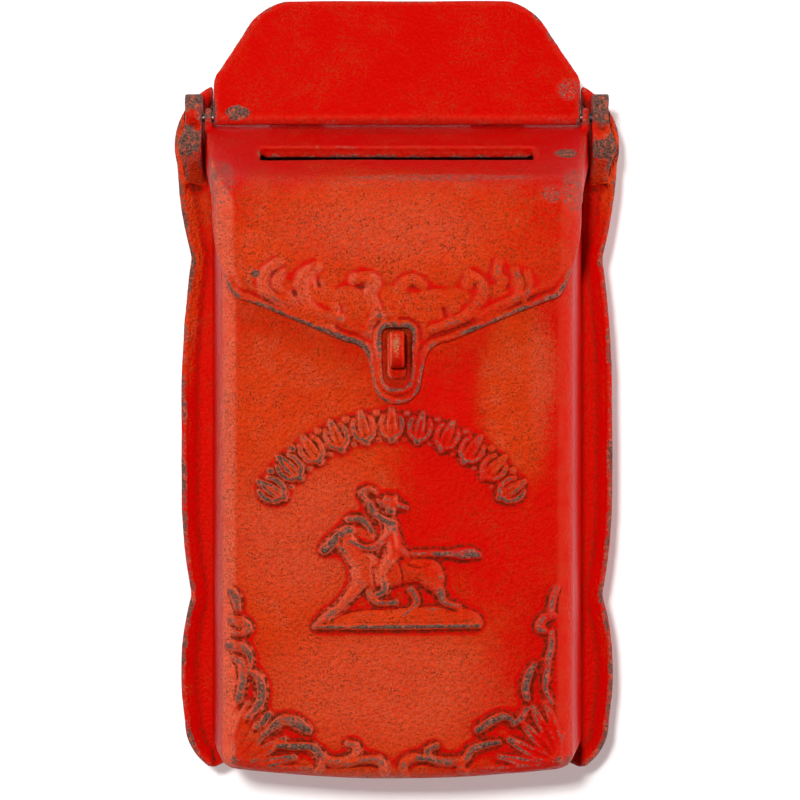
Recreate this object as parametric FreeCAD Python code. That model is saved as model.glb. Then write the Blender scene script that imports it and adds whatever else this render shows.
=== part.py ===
import FreeCAD, Part
import math
import os
from FreeCAD import Vector

# Cast-iron wall letter box, in millimetres. X is across the box, the back lies on the
# plane y = 0 and the front faces -Y, and Z is up. "Depth" is the distance in front of
# the wall, so a point at depth d has y = -d. Each part function returns one solid.

# ---- driving dimensions -------------------------------------------------------------
# box body
front_half_width = 76.0      # half the width of the front face, to the side walls
body_depth = 72.0            # wall to the outside of the front face
body_low = -164.4            # lowest point of the bowed bottom
bottom_bow = 6.0             # how far the bottom rises from the middle to the sides
side_draft = 0.112           # how much wider each side gets per millimetre towards the wall
body_wall = 4.0
body_corner_radius = 8.5     # upright front corners
body_edge_radius = 6.0       # front edge at the bottom

# back plate
plate_thickness = 5.0
plate_margin = 14.0          # plate edge beyond the body on each side
hump_rise = 15.9             # top of the plate's humps above the rod
foot_drop = 2.4              # plate's lobes below the body's lowest point
rim_width = 3.0
rim_height = 3.0
rim_body_gap = 1.2           # between the rim and the body's side
upper_waist_z = 64.2         # pinched points in the scalloped edge
lower_waist_z = -88.1
waist_inset = 4.5
wall_hole_radius = 2.75
wall_hole_x = 50.0
wall_hole_z = 80.0
ledge_thickness = 3.5
ledge_side_gap = 1.0
ledge_setback = 6.0          # ledge ends this far behind the rod

# hinge
hinge_depth = 22.0
hinge_z = 126.5
rod_radius = 2.0
rod_fit_fixed = 0.03         # radial clearance of the rod in the plate's ears
rod_fit_running = 0.06       # radial clearance of the rod in the parts that turn on it
ear_width = 8.0
ear_reach = 8.5              # ear in front of and above the rod
ear_drop = 23.0              # ear below the rod
peen_length = 1.0
peen_flare = 1.0
side_play = 0.4              # end play between the cover and the lid's lugs
ear_play = 0.7               # end play between the lugs and the ears
hump_gap = 0.6               # between the lug's inner face and the plate's humps
lug_shoulder = 0.8           # lug thicker than the lid's cheek

# lid
lid_slope = 27.5             # degrees, falling away from the wall
lid_gap = 0.8                # between the lid and the body it covers
lid_wall = 3.2
lid_top_thickness = 4.0
lid_heel = 7.0               # sloping plate behind the rod
lid_nose_radius = 16.0
lug_wall = 2.5
cheek_front_drop = 42.5      # rod centre down to the cheek's lower edge, at the front
cheek_back_drop = 20.5       # and at the back
cheek_back_setback = 9.0     # cheek's rear edge behind the rod
body_seat_gap = 0.5          # between the lid's sloping plate and the body's top edges
slot_half_length = 60.0
slot_back = 24.0             # along the slope, from the rod
slot_width = 13.5
flap_corner_z = 46.0
flap_point_z = 24.0
tongue_wall = 4.3            # beside the tongue's hole
tongue_wall_below = 7.2      # under the tongue's hole
staple_gap_side = 3.45       # tongue's hole around the staple
staple_gap_above = 1.3
staple_gap_below = 8.6       # room for the tongue to swing off the staple

# slot cover
cover_thickness = 3.5
cover_overhang = 0.6         # cover beyond the body's side at the rod
cover_taper = 32.2           # how much each side narrows towards the far edge
cover_nose_setback = 10.0    # shut cover ends this far short of the lid's nose
cover_shoulder = 14.0        # height of the straight lower sides
cover_lean = 8.0             # degrees past upright, towards the wall
barrel_wall = 1.5
barrel_gap = 0.5             # between the barrel and the lid's sloping plate
cover_heel_setback = 1.5     # heels end this far inside the lid's rear edge
cover_heel_half_length = 12.0
cover_heel_x = 45.0
cover_rest_gap = 0.3

# lock staple
staple_low_z = 13.8
staple_top_z = 29.8
staple_reach = 18.0          # in front of the body's front face
staple_width = 6.5
staple_bar = 4.5
staple_bend = 6.0
stud_radius = 2.0
hole_clearance = 0.1
staple_plate_thickness = 2.0
staple_plate_half_width = 8.0
staple_plate_margin = 4.0
nut_flats = 7.0
nut_thickness = 3.2
stud_overhang = 1.8

# body screws
screw_radius = 2.45
screw_head_radius = 4.6
screw_length = 18.0
thread_clearance = 0.05
screw_drive_width = 1.2
screw_drive_depth = 1.3
boss_radius = 6.5
boss_length = 17.0
upper_boss_drop = 30.5       # below the rod
lower_boss_above_floor = 18.4

# ---- values that follow -------------------------------------------------------------
draft_factor = math.sqrt(1 + side_draft ** 2)
slope = math.radians(lid_slope)
lid_front = body_depth + lid_gap + lid_wall
barrel_radius = rod_radius + barrel_wall
lug_radius = rod_radius + lug_wall
lid_top_drop = barrel_radius + barrel_gap     # rod centre to the top of the sloping plate
lid_underside = lid_top_drop + lid_top_thickness
body_seat = lid_underside + body_seat_gap
nose_along = (lid_front - hinge_depth + lid_top_drop * math.sin(slope)) / math.cos(slope)
cover_length = nose_along - cover_nose_setback
tongue_hole_half_width = staple_width / 2 + staple_gap_side
tongue_hole_low_z = staple_low_z - staple_gap_below
tongue_hole_top_z = staple_top_z + staple_gap_above
tongue_half_width = tongue_hole_half_width + tongue_wall
tongue_low_z = tongue_hole_low_z - tongue_wall_below


def half_width(depth):
    """Outside half width of the body at a depth."""
    return front_half_width + side_draft * (body_depth - depth)


rear_half_width = half_width(plate_thickness)
cover_half_width = half_width(hinge_depth) + cover_overhang
cover_top_half_width = cover_half_width - cover_taper
plate_half_width = rear_half_width + plate_margin
lug_inside = cover_half_width + side_play
lug_outside = half_width(hinge_depth) + (lid_gap + lid_wall) * draft_factor + lug_shoulder
ear_inside = lug_outside + ear_play
ear_outside = ear_inside + ear_width
body_top_z = hinge_z - math.hypot(lid_heel, lid_underside) - lid_gap
boss_x = rear_half_width - body_wall - boss_radius
boss_zs = (hinge_z - upper_boss_drop, body_low + lower_boss_above_floor)
stud_zs = (staple_low_z + staple_bar / 2, staple_top_z - staple_bar / 2)
WIDE = 400.0


# ---- helpers ------------------------------------------------------------------------
def side_view(depth, z):
    """Point of a profile seen from the side."""
    return Vector(0, -depth, z)


def front_view(x, z):
    """Point of a profile seen from the front."""
    return Vector(x, 0, z)


def top_view(x, depth):
    """Point of a profile seen from above."""
    return Vector(x, -depth, 0)


def on_slope(along, above):
    """Depth and height of a point given along and square to the lid's slope, from the rod."""
    depth = hinge_depth + along * math.cos(slope) + above * math.sin(slope)
    return depth, hinge_z - along * math.sin(slope) + above * math.cos(slope)


def rounded_face(corners, view):
    """Face of a polygon whose corners are (a, b) or, when rounded, (a, b, radius)."""
    edges = []
    ends = []
    for index, corner in enumerate(corners):
        here = view(corner[0], corner[1])
        if len(corner) < 3:
            ends.append((here, here))
            continue
        before = corners[index - 1]
        after = corners[(index + 1) % len(corners)]
        to_before = (view(before[0], before[1]) - here).normalize()
        to_after = (view(after[0], after[1]) - here).normalize()
        half_angle = to_before.getAngle(to_after) / 2
        cut = corner[2] / math.tan(half_angle)
        inward = (to_before + to_after).normalize()
        centre = here + inward * (corner[2] / math.sin(half_angle))
        start = here + to_before * cut
        end = here + to_after * cut
        edges.append(Part.Arc(start, centre - inward * corner[2], end).toShape())
        ends.append((start, end))
    for index, (start, _) in enumerate(ends):
        previous_end = ends[index - 1][1]
        if previous_end.distanceToPoint(start) > 1e-6:
            edges.append(Part.makeLine(previous_end, start))
    return Part.Face(Part.Wire(Part.__sortEdges__(edges)))


def mirrored_face(start, steps):
    """Face seen from the front, mirrored about x = 0. A step is an end point, or the
    middle and the end of an arc."""
    edges = []
    for side in (1, -1):
        here = start
        for step in steps:
            points = [front_view(side * p[0], p[1]) for p in [here] + step]
            if len(step) == 1:
                edges.append(Part.makeLine(*points))
            else:
                edges.append(Part.Arc(*points).toShape())
            here = step[-1]
    return Part.Face(Part.Wire(Part.__sortEdges__(edges)))


def box(x_low, x_high, depth_low, depth_high, z_low, z_high):
    size = (x_high - x_low, depth_high - depth_low, z_high - z_low)
    return Part.makeBox(*size, Vector(x_low, -depth_high, z_low))


def across(face, half_length=WIDE):
    """Solid of a side-view face, to both sides of the middle."""
    return face.translated(Vector(-half_length, 0, 0)).extrude(Vector(2 * half_length, 0, 0))


def forward(face, depth_low, depth_high):
    """Solid of a front-view face between two depths."""
    return face.translated(Vector(0, -depth_low, 0)).extrude(Vector(0, depth_low - depth_high, 0))


def bar_along_x(radius, x_low, x_high):
    """Round bar on the hinge line."""
    return Part.makeCylinder(radius, x_high - x_low, Vector(x_low, -hinge_depth, hinge_z), Vector(1, 0, 0))


def bar_forward(radius, x, z, depth_low, depth_high):
    """Round bar square to the wall."""
    return Part.makeCylinder(radius, depth_high - depth_low, Vector(x, -depth_low, z), Vector(0, -1, 0))


def both_sides(make):
    """The two mirror-image copies of a piece, made from its sign."""
    return [make(-1), make(1)]


# ---- shared shapes ------------------------------------------------------------------
def plan_block(offset):
    """The body's plan, moved out by an offset and drawn tall."""
    front = body_depth + offset
    radius = body_corner_radius + offset
    at_front = half_width(front) + offset * draft_factor
    at_wall = half_width(0) + offset * draft_factor
    corners = [(-at_wall, 0), (-at_front, front, radius), (at_front, front, radius), (at_wall, 0)]
    face = rounded_face(corners, top_view)
    return face.translated(Vector(0, 0, -WIDE)).extrude(Vector(0, 0, 2 * WIDE))


def above_bottom(offset):
    """Everything above the bowed bottom, moved up by an offset."""
    side_z = body_low + bottom_bow + offset
    reach = rear_half_width
    arc = [Part.Arc(front_view(-reach, side_z), front_view(0, body_low + offset),
                    front_view(reach, side_z)).toShape()]
    corners = [front_view(reach, side_z), front_view(reach, WIDE),
               front_view(-reach, WIDE), front_view(-reach, side_z)]
    lines = [Part.makeLine(a, b) for a, b in zip(corners, corners[1:])]
    face = Part.Face(Part.Wire(Part.__sortEdges__(arc + lines)))
    return forward(face, -1, WIDE)


# ---- castings -----------------------------------------------------------------------
def plate_outline():
    """Scalloped edge of the back plate."""
    side = plate_half_width
    waist = side - waist_inset
    foot_z = body_low - foot_drop
    hidden_low = body_low + foot_drop
    top = hinge_z + hump_rise
    return mirrored_face((0, body_top_z + ledge_thickness), [
        [(lug_inside + hump_gap, body_top_z + ledge_thickness)],
        [(lug_inside + hump_gap, top)],
        [(side - 1.3, hinge_z + 4.5), (side + 2.1, hinge_z - 19.5)],
        [(side - 0.1, upper_waist_z + 20.8), (waist, upper_waist_z)],
        [(side - 1.2, upper_waist_z - 30), (side, upper_waist_z - 69)],
        [(side, lower_waist_z + 48)],
        [(side - 1.6, lower_waist_z + 19), (waist, lower_waist_z)],
        [(side + 0.3, lower_waist_z - 32), (side - 1.5, foot_z + 22.2)],
        [(side - 5.3, foot_z + 8.3), (side - 14, foot_z)],
        [(side - 24, hidden_low)],
        [(0, hidden_low)]])


def ear(side):
    """Hinge ear on the plate, with its rod hole and the countersink for the rod's end."""
    top = hinge_z + ear_reach + 2
    front = hinge_depth + ear_reach
    low = hinge_z - ear_drop
    profile = rounded_face([(0, top), (front, top, 8), (front, low + 5, 6), (12, low - 4, 4), (0, low - 8)],
                           side_view)
    inner, outer = sorted((side * ear_inside, side * ear_outside))
    solid = profile.translated(Vector(inner, 0, 0)).extrude(Vector(outer - inner, 0, 0))
    hole_radius = rod_radius + rod_fit_fixed
    solid = solid.cut(bar_along_x(hole_radius, inner - 1, outer + 1))
    sink = Part.makeCone(hole_radius, hole_radius + peen_flare, peen_length,
                         Vector(side * (ear_outside - peen_length), -hinge_depth, hinge_z),
                         Vector(side, 0, 0))
    return solid.cut(sink)


def back_plate():
    outline = plate_outline()
    solid = forward(outline, 0, plate_thickness)
    rim_front = plate_thickness + rim_height
    rim = forward(outline, plate_thickness, rim_front)
    rim = rim.cut(forward(outline.makeOffset2D(-rim_width), plate_thickness - 1, rim_front + 1))
    rim_inside = rear_half_width + rim_body_gap
    rim = rim.cut(box(-rim_inside, rim_inside, 0, rim_front + 1, -WIDE, hinge_z))
    ledge_half = half_width(hinge_depth) - body_wall - ledge_side_gap
    ledge = box(-ledge_half, ledge_half, plate_thickness, hinge_depth - ledge_setback,
                body_top_z - ledge_thickness, body_top_z)
    solid = solid.fuse([rim, ledge] + both_sides(ear))
    for x in (-wall_hole_x, wall_hole_x):
        for z in (-wall_hole_z, wall_hole_z):
            solid = solid.cut(bar_forward(wall_hole_radius, x, z, -1, plate_thickness + 1))
    for x in (-boss_x, boss_x):
        for z in boss_zs:
            solid = solid.cut(screw_blank(x, z, thread_clearance))
    return solid.removeSplitter()


def boss(x, z):
    """Screw boss behind the front casting, joined to the side wall."""
    end = plate_thickness + boss_length
    solid = bar_forward(boss_radius, x, z, plate_thickness, end)
    web_end = math.copysign(half_width(end) - body_wall / 2, x)
    low, high = sorted((x, web_end))
    return solid.fuse(box(low, high, plate_thickness, end, z - boss_radius * 0.75, z + boss_radius * 0.75))


def front_body():
    """Open box that forms the front, the sides and the bottom."""
    front_along = (body_depth - hinge_depth + body_seat * math.sin(slope)) / math.cos(slope)
    top_front = on_slope(front_along, -body_seat)
    slope_start = (hinge_z - body_top_z - body_seat * math.cos(slope)) / math.sin(slope)
    top_back = on_slope(slope_start, -body_seat)
    profile = rounded_face([
        (plate_thickness, body_low - 1), (body_depth, body_low - 1, body_edge_radius),
        (body_depth, top_front[1], lid_nose_radius - lid_wall - lid_gap), top_back,
        (plate_thickness, body_top_z)], side_view)
    solid = plan_block(0).common(across(profile)).common(above_bottom(0))
    hollow = plan_block(-body_wall).common(above_bottom(body_wall))
    solid = solid.cut(hollow)
    for x in (-boss_x, boss_x):
        for z in boss_zs:
            solid = solid.fuse(boss(x, z))
            solid = solid.cut(screw_blank(x, z, thread_clearance))
    for z in stud_zs:
        hole = bar_forward(stud_radius + hole_clearance, 0, z, body_depth - body_wall - 1, body_depth + 1)
        solid = solid.cut(hole)
    return solid.removeSplitter()


def lid_profile(drop, front, radius, heel):
    """Side view of the lid's outside or inside."""
    along = (front - hinge_depth + drop * math.sin(slope)) / math.cos(slope)
    nose = on_slope(along, -drop)
    back = on_slope(-heel, -drop)
    low = tongue_low_z - 20
    return across(rounded_face([back, (nose[0], nose[1], radius), (front, low), (back[0], low)], side_view))


def flap_outline():
    """Front view of the flap that hangs in front of the body, with its tongue."""
    side = front_half_width + lid_gap + lid_wall
    flap_side_z = hinge_z - cheek_front_drop + 2
    neck = tongue_half_width + 1.5
    return mirrored_face((0, hinge_z + 20), [
        [(side + 20, hinge_z + 20)],
        [(side + 20, flap_side_z)],
        [(side, flap_side_z)],
        [(side - 1.4, flap_corner_z + 20), (side - 7, flap_corner_z + 3)],
        [(side - 9.5, flap_corner_z - 1), (side - 14, flap_corner_z - 3)],
        [(neck + 29.5, flap_point_z + 9.5), (neck + 9.5, flap_point_z + 1)],
        [(neck + 3, flap_point_z - 1.5), (neck, flap_point_z - 7)],
        [(tongue_half_width - 0.2, tongue_low_z + 11)],
        [(tongue_half_width * 0.7, tongue_low_z + 3.3), (0, tongue_low_z)]])


def lug(side):
    """Hinge lug at the back of the lid's cheek."""
    low, high = sorted((side * lug_inside, side * lug_outside))
    foot = rounded_face([on_slope(-lug_radius, 0), on_slope(lug_radius, 0),
                         on_slope(lug_radius, -lid_top_drop - 1), on_slope(-lug_radius, -lid_top_drop - 1)],
                        side_view)
    return bar_along_x(lug_radius, low, high).fuse(
        foot.translated(Vector(low, 0, 0)).extrude(Vector(high - low, 0, 0)))


def lid():
    """Sloping top with the letter slot, side cheeks and the front flap, in one casting."""
    outside = plan_block(lid_gap + lid_wall).common(
        lid_profile(lid_top_drop, lid_front, lid_nose_radius, lid_heel))
    inside = plan_block(lid_gap).common(
        lid_profile(lid_underside, body_depth + lid_gap, lid_nose_radius - lid_wall, lid_heel + 30))
    shell = outside.cut(inside)
    back = hinge_depth - cheek_back_setback
    cheek = rounded_face([(back, WIDE), (back, hinge_z - cheek_back_drop),
                          (lid_front + 1, hinge_z - cheek_front_drop), (lid_front + 1, WIDE)], side_view)
    keep = across(cheek, lug_outside).fuse(
        forward(flap_outline(), body_depth - body_corner_radius, lid_front + 1))
    solid = shell.common(keep).fuse(both_sides(lug))
    solid = solid.cut(bar_along_x(rod_radius + rod_fit_running, -WIDE, WIDE))
    slot = rounded_face([on_slope(slot_back, 5), on_slope(slot_back + slot_width, 5),
                         on_slope(slot_back + slot_width, -lid_underside - 5),
                         on_slope(slot_back, -lid_underside - 5)], side_view)
    solid = solid.cut(across(slot, slot_half_length))
    half = tongue_hole_half_width
    low_radius = half - 2.2
    hole = rounded_face([(-half, tongue_hole_top_z, 2.5), (half, tongue_hole_top_z, 2.5),
                         (half - 1, tongue_hole_low_z, low_radius),
                         (1 - half, tongue_hole_low_z, low_radius)], front_view)
    return solid.cut(forward(hole, body_depth - 1, lid_front + 1)).removeSplitter()


def slot_cover():
    """Plain flap over the letter slot, drawn upright and then leaned back on the rod."""
    width = cover_half_width
    shoulder = cover_shoulder
    rise = cover_length - shoulder
    panel = mirrored_face((0, 0), [
        [(width, 0)],
        [(width, shoulder)],
        [(width - 0.5, shoulder + rise * 0.09), (width - 2.2, shoulder + rise * 0.17)],
        [(width - 8.2, shoulder + rise * 0.40), (width - 13.9, shoulder + rise * 0.63)],
        [(width - 20.7, shoulder + rise * 0.86), (cover_top_half_width, cover_length)],
        [(0, cover_length)]])
    face_depth = hinge_depth + barrel_radius
    panel = forward(panel.translated(Vector(0, 0, hinge_z)), face_depth - cover_thickness, face_depth)
    solid = panel.fuse(bar_along_x(barrel_radius, -width, width))
    axis_point = Vector(0, -hinge_depth, hinge_z)
    solid.rotate(axis_point, Vector(1, 0, 0), -cover_lean)
    rest = -lid_top_drop + cover_rest_gap
    end = cover_heel_setback - lid_heel
    heel = rounded_face([on_slope(end, 0), on_slope(0, 0), on_slope(0, rest), on_slope(end, rest)],
                        side_view)
    for x in (-cover_heel_x, cover_heel_x):
        piece = heel.translated(Vector(x - cover_heel_half_length, 0, 0))
        solid = solid.fuse(piece.extrude(Vector(2 * cover_heel_half_length, 0, 0)))
    return solid.cut(bar_along_x(rod_radius + rod_fit_running, -WIDE, WIDE)).removeSplitter()


# ---- ironmongery --------------------------------------------------------------------
def hinge_rod():
    """Rod through both ears, peened into their countersinks."""
    solid = bar_along_x(rod_radius, -ear_outside, ear_outside)
    for side in (-1, 1):
        solid = solid.fuse(Part.makeCone(rod_radius, rod_radius + peen_flare, peen_length,
                                         Vector(side * (ear_outside - peen_length), -hinge_depth, hinge_z),
                                         Vector(side, 0, 0)))
    return solid.removeSplitter()


def screw_blank(x, z, clearance):
    """Countersunk screw without its drive, grown by a clearance."""
    radius = screw_radius + clearance
    head_radius = screw_head_radius + clearance
    cone = Part.makeCone(head_radius, radius, head_radius - radius, Vector(x, 0, z), Vector(0, -1, 0))
    return cone.fuse(bar_forward(radius, x, z, 0, screw_length + clearance))


def body_screw(x, z):
    drive = box(x - screw_head_radius, x + screw_head_radius, -1, screw_drive_depth,
                z - screw_drive_width / 2, z + screw_drive_width / 2)
    return screw_blank(x, z, 0).cut(drive)


def lock_staple():
    """Bent bar that stands through the tongue, with a stud on each leg."""
    back = body_depth
    front = body_depth + staple_reach
    inner_bend = staple_bend - staple_bar
    outer = rounded_face([(back, staple_low_z), (front, staple_low_z, staple_bend),
                          (front, staple_top_z, staple_bend), (back, staple_top_z)], side_view)
    inner = rounded_face([(back - 1, staple_low_z + staple_bar),
                          (front - staple_bar, staple_low_z + staple_bar, inner_bend),
                          (front - staple_bar, staple_top_z - staple_bar, inner_bend),
                          (back - 1, staple_top_z - staple_bar)], side_view)
    solid = across(outer, staple_width / 2).cut(across(inner, staple_width))
    stud_end = body_depth - body_wall - staple_plate_thickness - nut_thickness - stud_overhang
    for z in stud_zs:
        solid = solid.fuse(bar_forward(stud_radius, 0, z, stud_end, back + 1))
    return solid.removeSplitter()


def staple_plate():
    """Backing plate for the staple, inside the front wall."""
    high = body_depth - body_wall
    solid = box(-staple_plate_half_width, staple_plate_half_width, high - staple_plate_thickness, high,
                staple_low_z - staple_plate_margin, staple_top_z + staple_plate_margin)
    for z in stud_zs:
        solid = solid.cut(bar_forward(stud_radius + hole_clearance, 0, z, high - staple_plate_thickness - 1,
                                      high + 1))
    return solid


def staple_nut(z):
    """Hexagon nut on a stud of the staple."""
    high = body_depth - body_wall - staple_plate_thickness
    corner = nut_flats / math.sqrt(3)
    angles = [math.radians(60 * step) for step in range(6)]
    hexagon = rounded_face([(corner * math.cos(a), z + corner * math.sin(a)) for a in angles], front_view)
    solid = forward(hexagon, high - nut_thickness, high)
    return solid.cut(bar_forward(stud_radius + thread_clearance, 0, z, high - nut_thickness - 1, high + 1))


parts = {
    "back_plate": back_plate(),
    "front_body": front_body(),
    "lid": lid(),
    "slot_cover": slot_cover(),
    "hinge_rod": hinge_rod(),
    "lock_staple": lock_staple(),
    "staple_backing_plate": staple_plate(),
}
for place, z in zip(("lower", "upper"), stud_zs):
    parts["staple_nut_" + place] = staple_nut(z)
for height, z in zip(("upper", "lower"), boss_zs):
    for side, x in (("left", -boss_x), ("right", boss_x)):
        parts["body_screw_" + height + "_" + side] = body_screw(x, z)

os.makedirs("parts", exist_ok=True)
for name, shape in parts.items():
    solids = shape.Solids
    print(name, "valid", shape.isValid(), "solids", len(solids), "volume", round(shape.Volume))
    piece = solids[0] if len(solids) == 1 else shape
    piece.exportStep("parts/" + name + ".step")
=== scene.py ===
import math

import bmesh
import bpy
import numpy as np
from mathutils import Matrix, Vector, kdtree, noise


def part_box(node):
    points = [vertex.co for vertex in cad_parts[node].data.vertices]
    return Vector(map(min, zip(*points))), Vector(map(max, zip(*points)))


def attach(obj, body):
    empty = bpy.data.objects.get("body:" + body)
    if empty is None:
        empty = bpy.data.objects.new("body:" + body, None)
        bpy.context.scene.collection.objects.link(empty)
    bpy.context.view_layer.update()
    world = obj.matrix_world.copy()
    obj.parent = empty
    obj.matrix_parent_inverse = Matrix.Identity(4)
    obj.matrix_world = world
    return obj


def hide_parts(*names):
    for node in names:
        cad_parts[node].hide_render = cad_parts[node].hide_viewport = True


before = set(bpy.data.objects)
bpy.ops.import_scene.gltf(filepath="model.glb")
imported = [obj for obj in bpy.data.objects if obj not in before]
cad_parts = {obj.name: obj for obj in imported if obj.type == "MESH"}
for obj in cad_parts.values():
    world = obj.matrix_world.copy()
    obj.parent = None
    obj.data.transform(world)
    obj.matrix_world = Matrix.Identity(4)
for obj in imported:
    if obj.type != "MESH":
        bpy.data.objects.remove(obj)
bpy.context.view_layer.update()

bl_info = {
    "name": "Cast-iron letter box",
    "version": (1, 0, 0),
    "blender": (4, 5, 0),
    "location": "View3D > Sidebar > Letter Box",
    "description": "Builds a worn, red-painted cast-iron wall letter box around its construction model",
    "category": "Add Mesh",
}

MM = 0.001

# Places read from the construction model, in metres. "Depth" is the distance in front of the wall.
BODY_LOW, BODY_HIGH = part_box("front_body")
ROD_LOW, ROD_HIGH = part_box("hinge_rod")
STAPLE_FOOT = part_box("lock_staple")[0][2]
BODY_DEPTH = -BODY_LOW[1]
PLATE_DEPTH = -BODY_HIGH[1]
REAR_HALF_WIDTH = BODY_HIGH[0]
HINGE_Z = (ROD_LOW[2] + ROD_HIGH[2]) / 2
HINGE_DEPTH = -(ROD_LOW[1] + ROD_HIGH[1]) / 2
ENAMEL, WORN_IRON, STEEL = "Worn red enamel", "Worn red iron", "Dull steel"


# ---- settings -------------------------------------------------------------------------------

class BoxShape(bpy.types.PropertyGroup):
    """Sizes of the castings' visible surfaces."""
    front_half_width: bpy.props.FloatProperty(
        name="Front half width", description="Half the front face, out to the side walls",
        default=0.076, unit="LENGTH")
    side_draft: bpy.props.FloatProperty(
        name="Side draft", description="How much wider each side gets towards the wall, per length",
        default=0.112, min=0, max=1)
    corner_radius: bpy.props.FloatProperty(
        name="Corner radius", description="Radius of the body's upright front corners",
        default=0.0085, unit="LENGTH")
    bottom_radius: bpy.props.FloatProperty(
        name="Bottom radius", description="Radius of the body's bottom edge", default=0.006, unit="LENGTH")
    bottom_bow: bpy.props.FloatProperty(
        name="Bottom bow", description="How far the bottom rises towards the sides",
        default=0.006, unit="LENGTH")
    wall: bpy.props.FloatProperty(
        name="Wall", description="Thickness of the body's walls", default=0.004, unit="LENGTH")
    slope: bpy.props.FloatProperty(
        name="Slope", description="Fall of the lid and of the body's top edge",
        default=math.radians(27.5), subtype="ANGLE", unit="ROTATION")
    seat_drop: bpy.props.FloatProperty(
        name="Seat drop", description="Rod centre down to the body's top edge, square to the slope",
        default=0.0085, unit="LENGTH")
    brow_radius: bpy.props.FloatProperty(
        name="Brow radius", description="Radius of the body's top edge at the front",
        default=0.012, unit="LENGTH")
    front_step: bpy.props.FloatProperty(
        name="Front grain", description="Spacing of the front face's mesh", default=0.00066, unit="LENGTH")
    lid_step: bpy.props.FloatProperty(
        name="Lid grain", description="Spacing of the lid's mesh", default=0.00084, unit="LENGTH")
    plate_step: bpy.props.FloatProperty(
        name="Plate grain", description="Spacing of the back plate's mesh", default=0.0012, unit="LENGTH")
    cover_step: bpy.props.FloatProperty(
        name="Cover grain", description="Spacing of the slot cover's mesh", default=0.0009, unit="LENGTH")
    staple_step: bpy.props.FloatProperty(
        name="Staple grain", description="Spacing of the lock staple's mesh", default=0.0003, unit="LENGTH")
    ornament: bpy.props.FloatProperty(
        name="Ornament height", description="Height of the raised work above the ground",
        default=0.0021, unit="LENGTH")
    rim_width: bpy.props.FloatProperty(
        name="Rim width", description="Width of the back plate's raised rim", default=0.003, unit="LENGTH")
    channel_width: bpy.props.FloatProperty(
        name="Channel width", description="Hollow slope inside the back plate's rim",
        default=0.006, unit="LENGTH")


class BoxPaint(bpy.types.PropertyGroup):
    """Colours of the paint and of the metal under it."""
    orange_red: bpy.props.FloatVectorProperty(
        name="Orange red", description="Paint where it is thin and rubbed", subtype="COLOR", size=3,
        default=(0.80, 0.044, 0.0028), min=0, max=1)
    deep_red: bpy.props.FloatVectorProperty(
        name="Deep red", description="Full paint in hollows and smooth places", subtype="COLOR", size=3,
        default=(0.56, 0.0008, 0.0005), min=0, max=1)
    # The salmon colour also paints the highlight down the upright front corners.
    salmon: bpy.props.FloatVectorProperty(
        name="Salmon", description="Chalky paint on rubbed flats and edges", subtype="COLOR", size=3,
        default=(0.82, 0.112, 0.052), min=0, max=1)
    # The speck colour also paints shade: in creases, in the gaps by the staple and the cover, and behind the
    # staple and along the hinge.
    speck_and_shade: bpy.props.FloatVectorProperty(
        name="Speck", description="Dark specks in the paint", subtype="COLOR", size=3,
        default=(0.085, 0.012, 0.004), min=0, max=1)
    iron: bpy.props.FloatVectorProperty(
        name="Iron", description="Bare cast iron on worn crests", subtype="COLOR", size=3,
        default=(0.120, 0.064, 0.050), min=0, max=1)
    # The glint colour paints a highlight down the staple's front, tan like worn metal.
    streak: bpy.props.FloatVectorProperty(
        name="Glint", description="Tan streak down the front of the staple", subtype="COLOR", size=3,
        default=(0.42, 0.20, 0.09), min=0, max=1)
    steel: bpy.props.FloatVectorProperty(
        name="Steel", description="Rod, nuts and screws", subtype="COLOR", size=3,
        default=(0.11, 0.10, 0.09), min=0, max=1)


class BoxStage(bpy.types.PropertyGroup):
    """Camera, lamps and backdrop."""
    camera_distance: bpy.props.FloatProperty(
        name="Camera distance", description="Camera in front of the wall", default=1.5, unit="LENGTH")
    camera_side: bpy.props.FloatProperty(
        name="Camera offset", description="Camera to the right of the middle",
        default=0.00136, unit="LENGTH")
    view_width: bpy.props.FloatProperty(
        name="View width", description="Width that the camera sees at the wall",
        default=0.3636, unit="LENGTH")
    backdrop_gap: bpy.props.FloatProperty(
        name="Backdrop gap", description="Backdrop behind the plate", default=0.044, unit="LENGTH")


# ---- where the box is worn, and where shade and highlights are painted ----------------------

# Places where the paint is knocked off, with their radii, in millimetres.
CHIPS = (
    ((-91.5, -30, 135.5), (8, 9, 4.6)),
    ((-94.5, -30, 116), (5.8, 7, 5.6)),
    ((91.5, -30, 131), (4.8, 8, 6)),
    ((93, -30, 112), (4.8, 7, 3.6)),
    ((-71.2, -25.6, 128.4), (4.3, 4, 2.7)),
    ((74.5, -50, 108.5), (4, 10, 1.8)),
    ((-61, -76, 54.5), (1.6, 4, 1.4)),
)
# Mottled, thinly worn places.
SCUFFS = (
    ((77, -25, 139), (5, 8, 5)),
    ((67, -70, 89), (4.8, 14, 4.2)),
    ((-76, -65, 94), (6, 20, 11)),
    ((18, -73, 96.5), (42, 12, 1.6)),
    ((76, -65, 90), (5, 20, 10)),
    ((-91, -25, 137), (6, 12, 5)),
    ((-94, -30, 113), (7, 10, 7)),
    ((92, -28, 129), (6, 12, 7)),
    ((93, -30, 111), (5, 10, 4)),
)
# Raised work that is worn down to the iron more than the rest.
WORN = (
    ((-30, -77, 29), (30, 10, 11)),
    ((-46, -74, -34), (22, 10, 16)),
    ((-24, -74, -62), (16, 10, 12)),
    ((28, -74, -68), (12, 10, 6)),
    ((0, -74, -98), (34, 10, 3)),
    ((-50, -74, -144), (20, 10, 18)),
    ((48, -74, -140), (20, 10, 22)),
    ((-40, -78, 39), (20, 10, 7)),
)
# Flats where the thin paint has gone chalky.
CHALKY = (
    ((-40, -72, -56), (34, 30, 30)),
    ((-2, -72, -124), (52, 30, 26)),
    ((-6, -76, 74), (44, 30, 15)),
    ((64, -72, 13), (7, 30, 33)),
)
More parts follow.
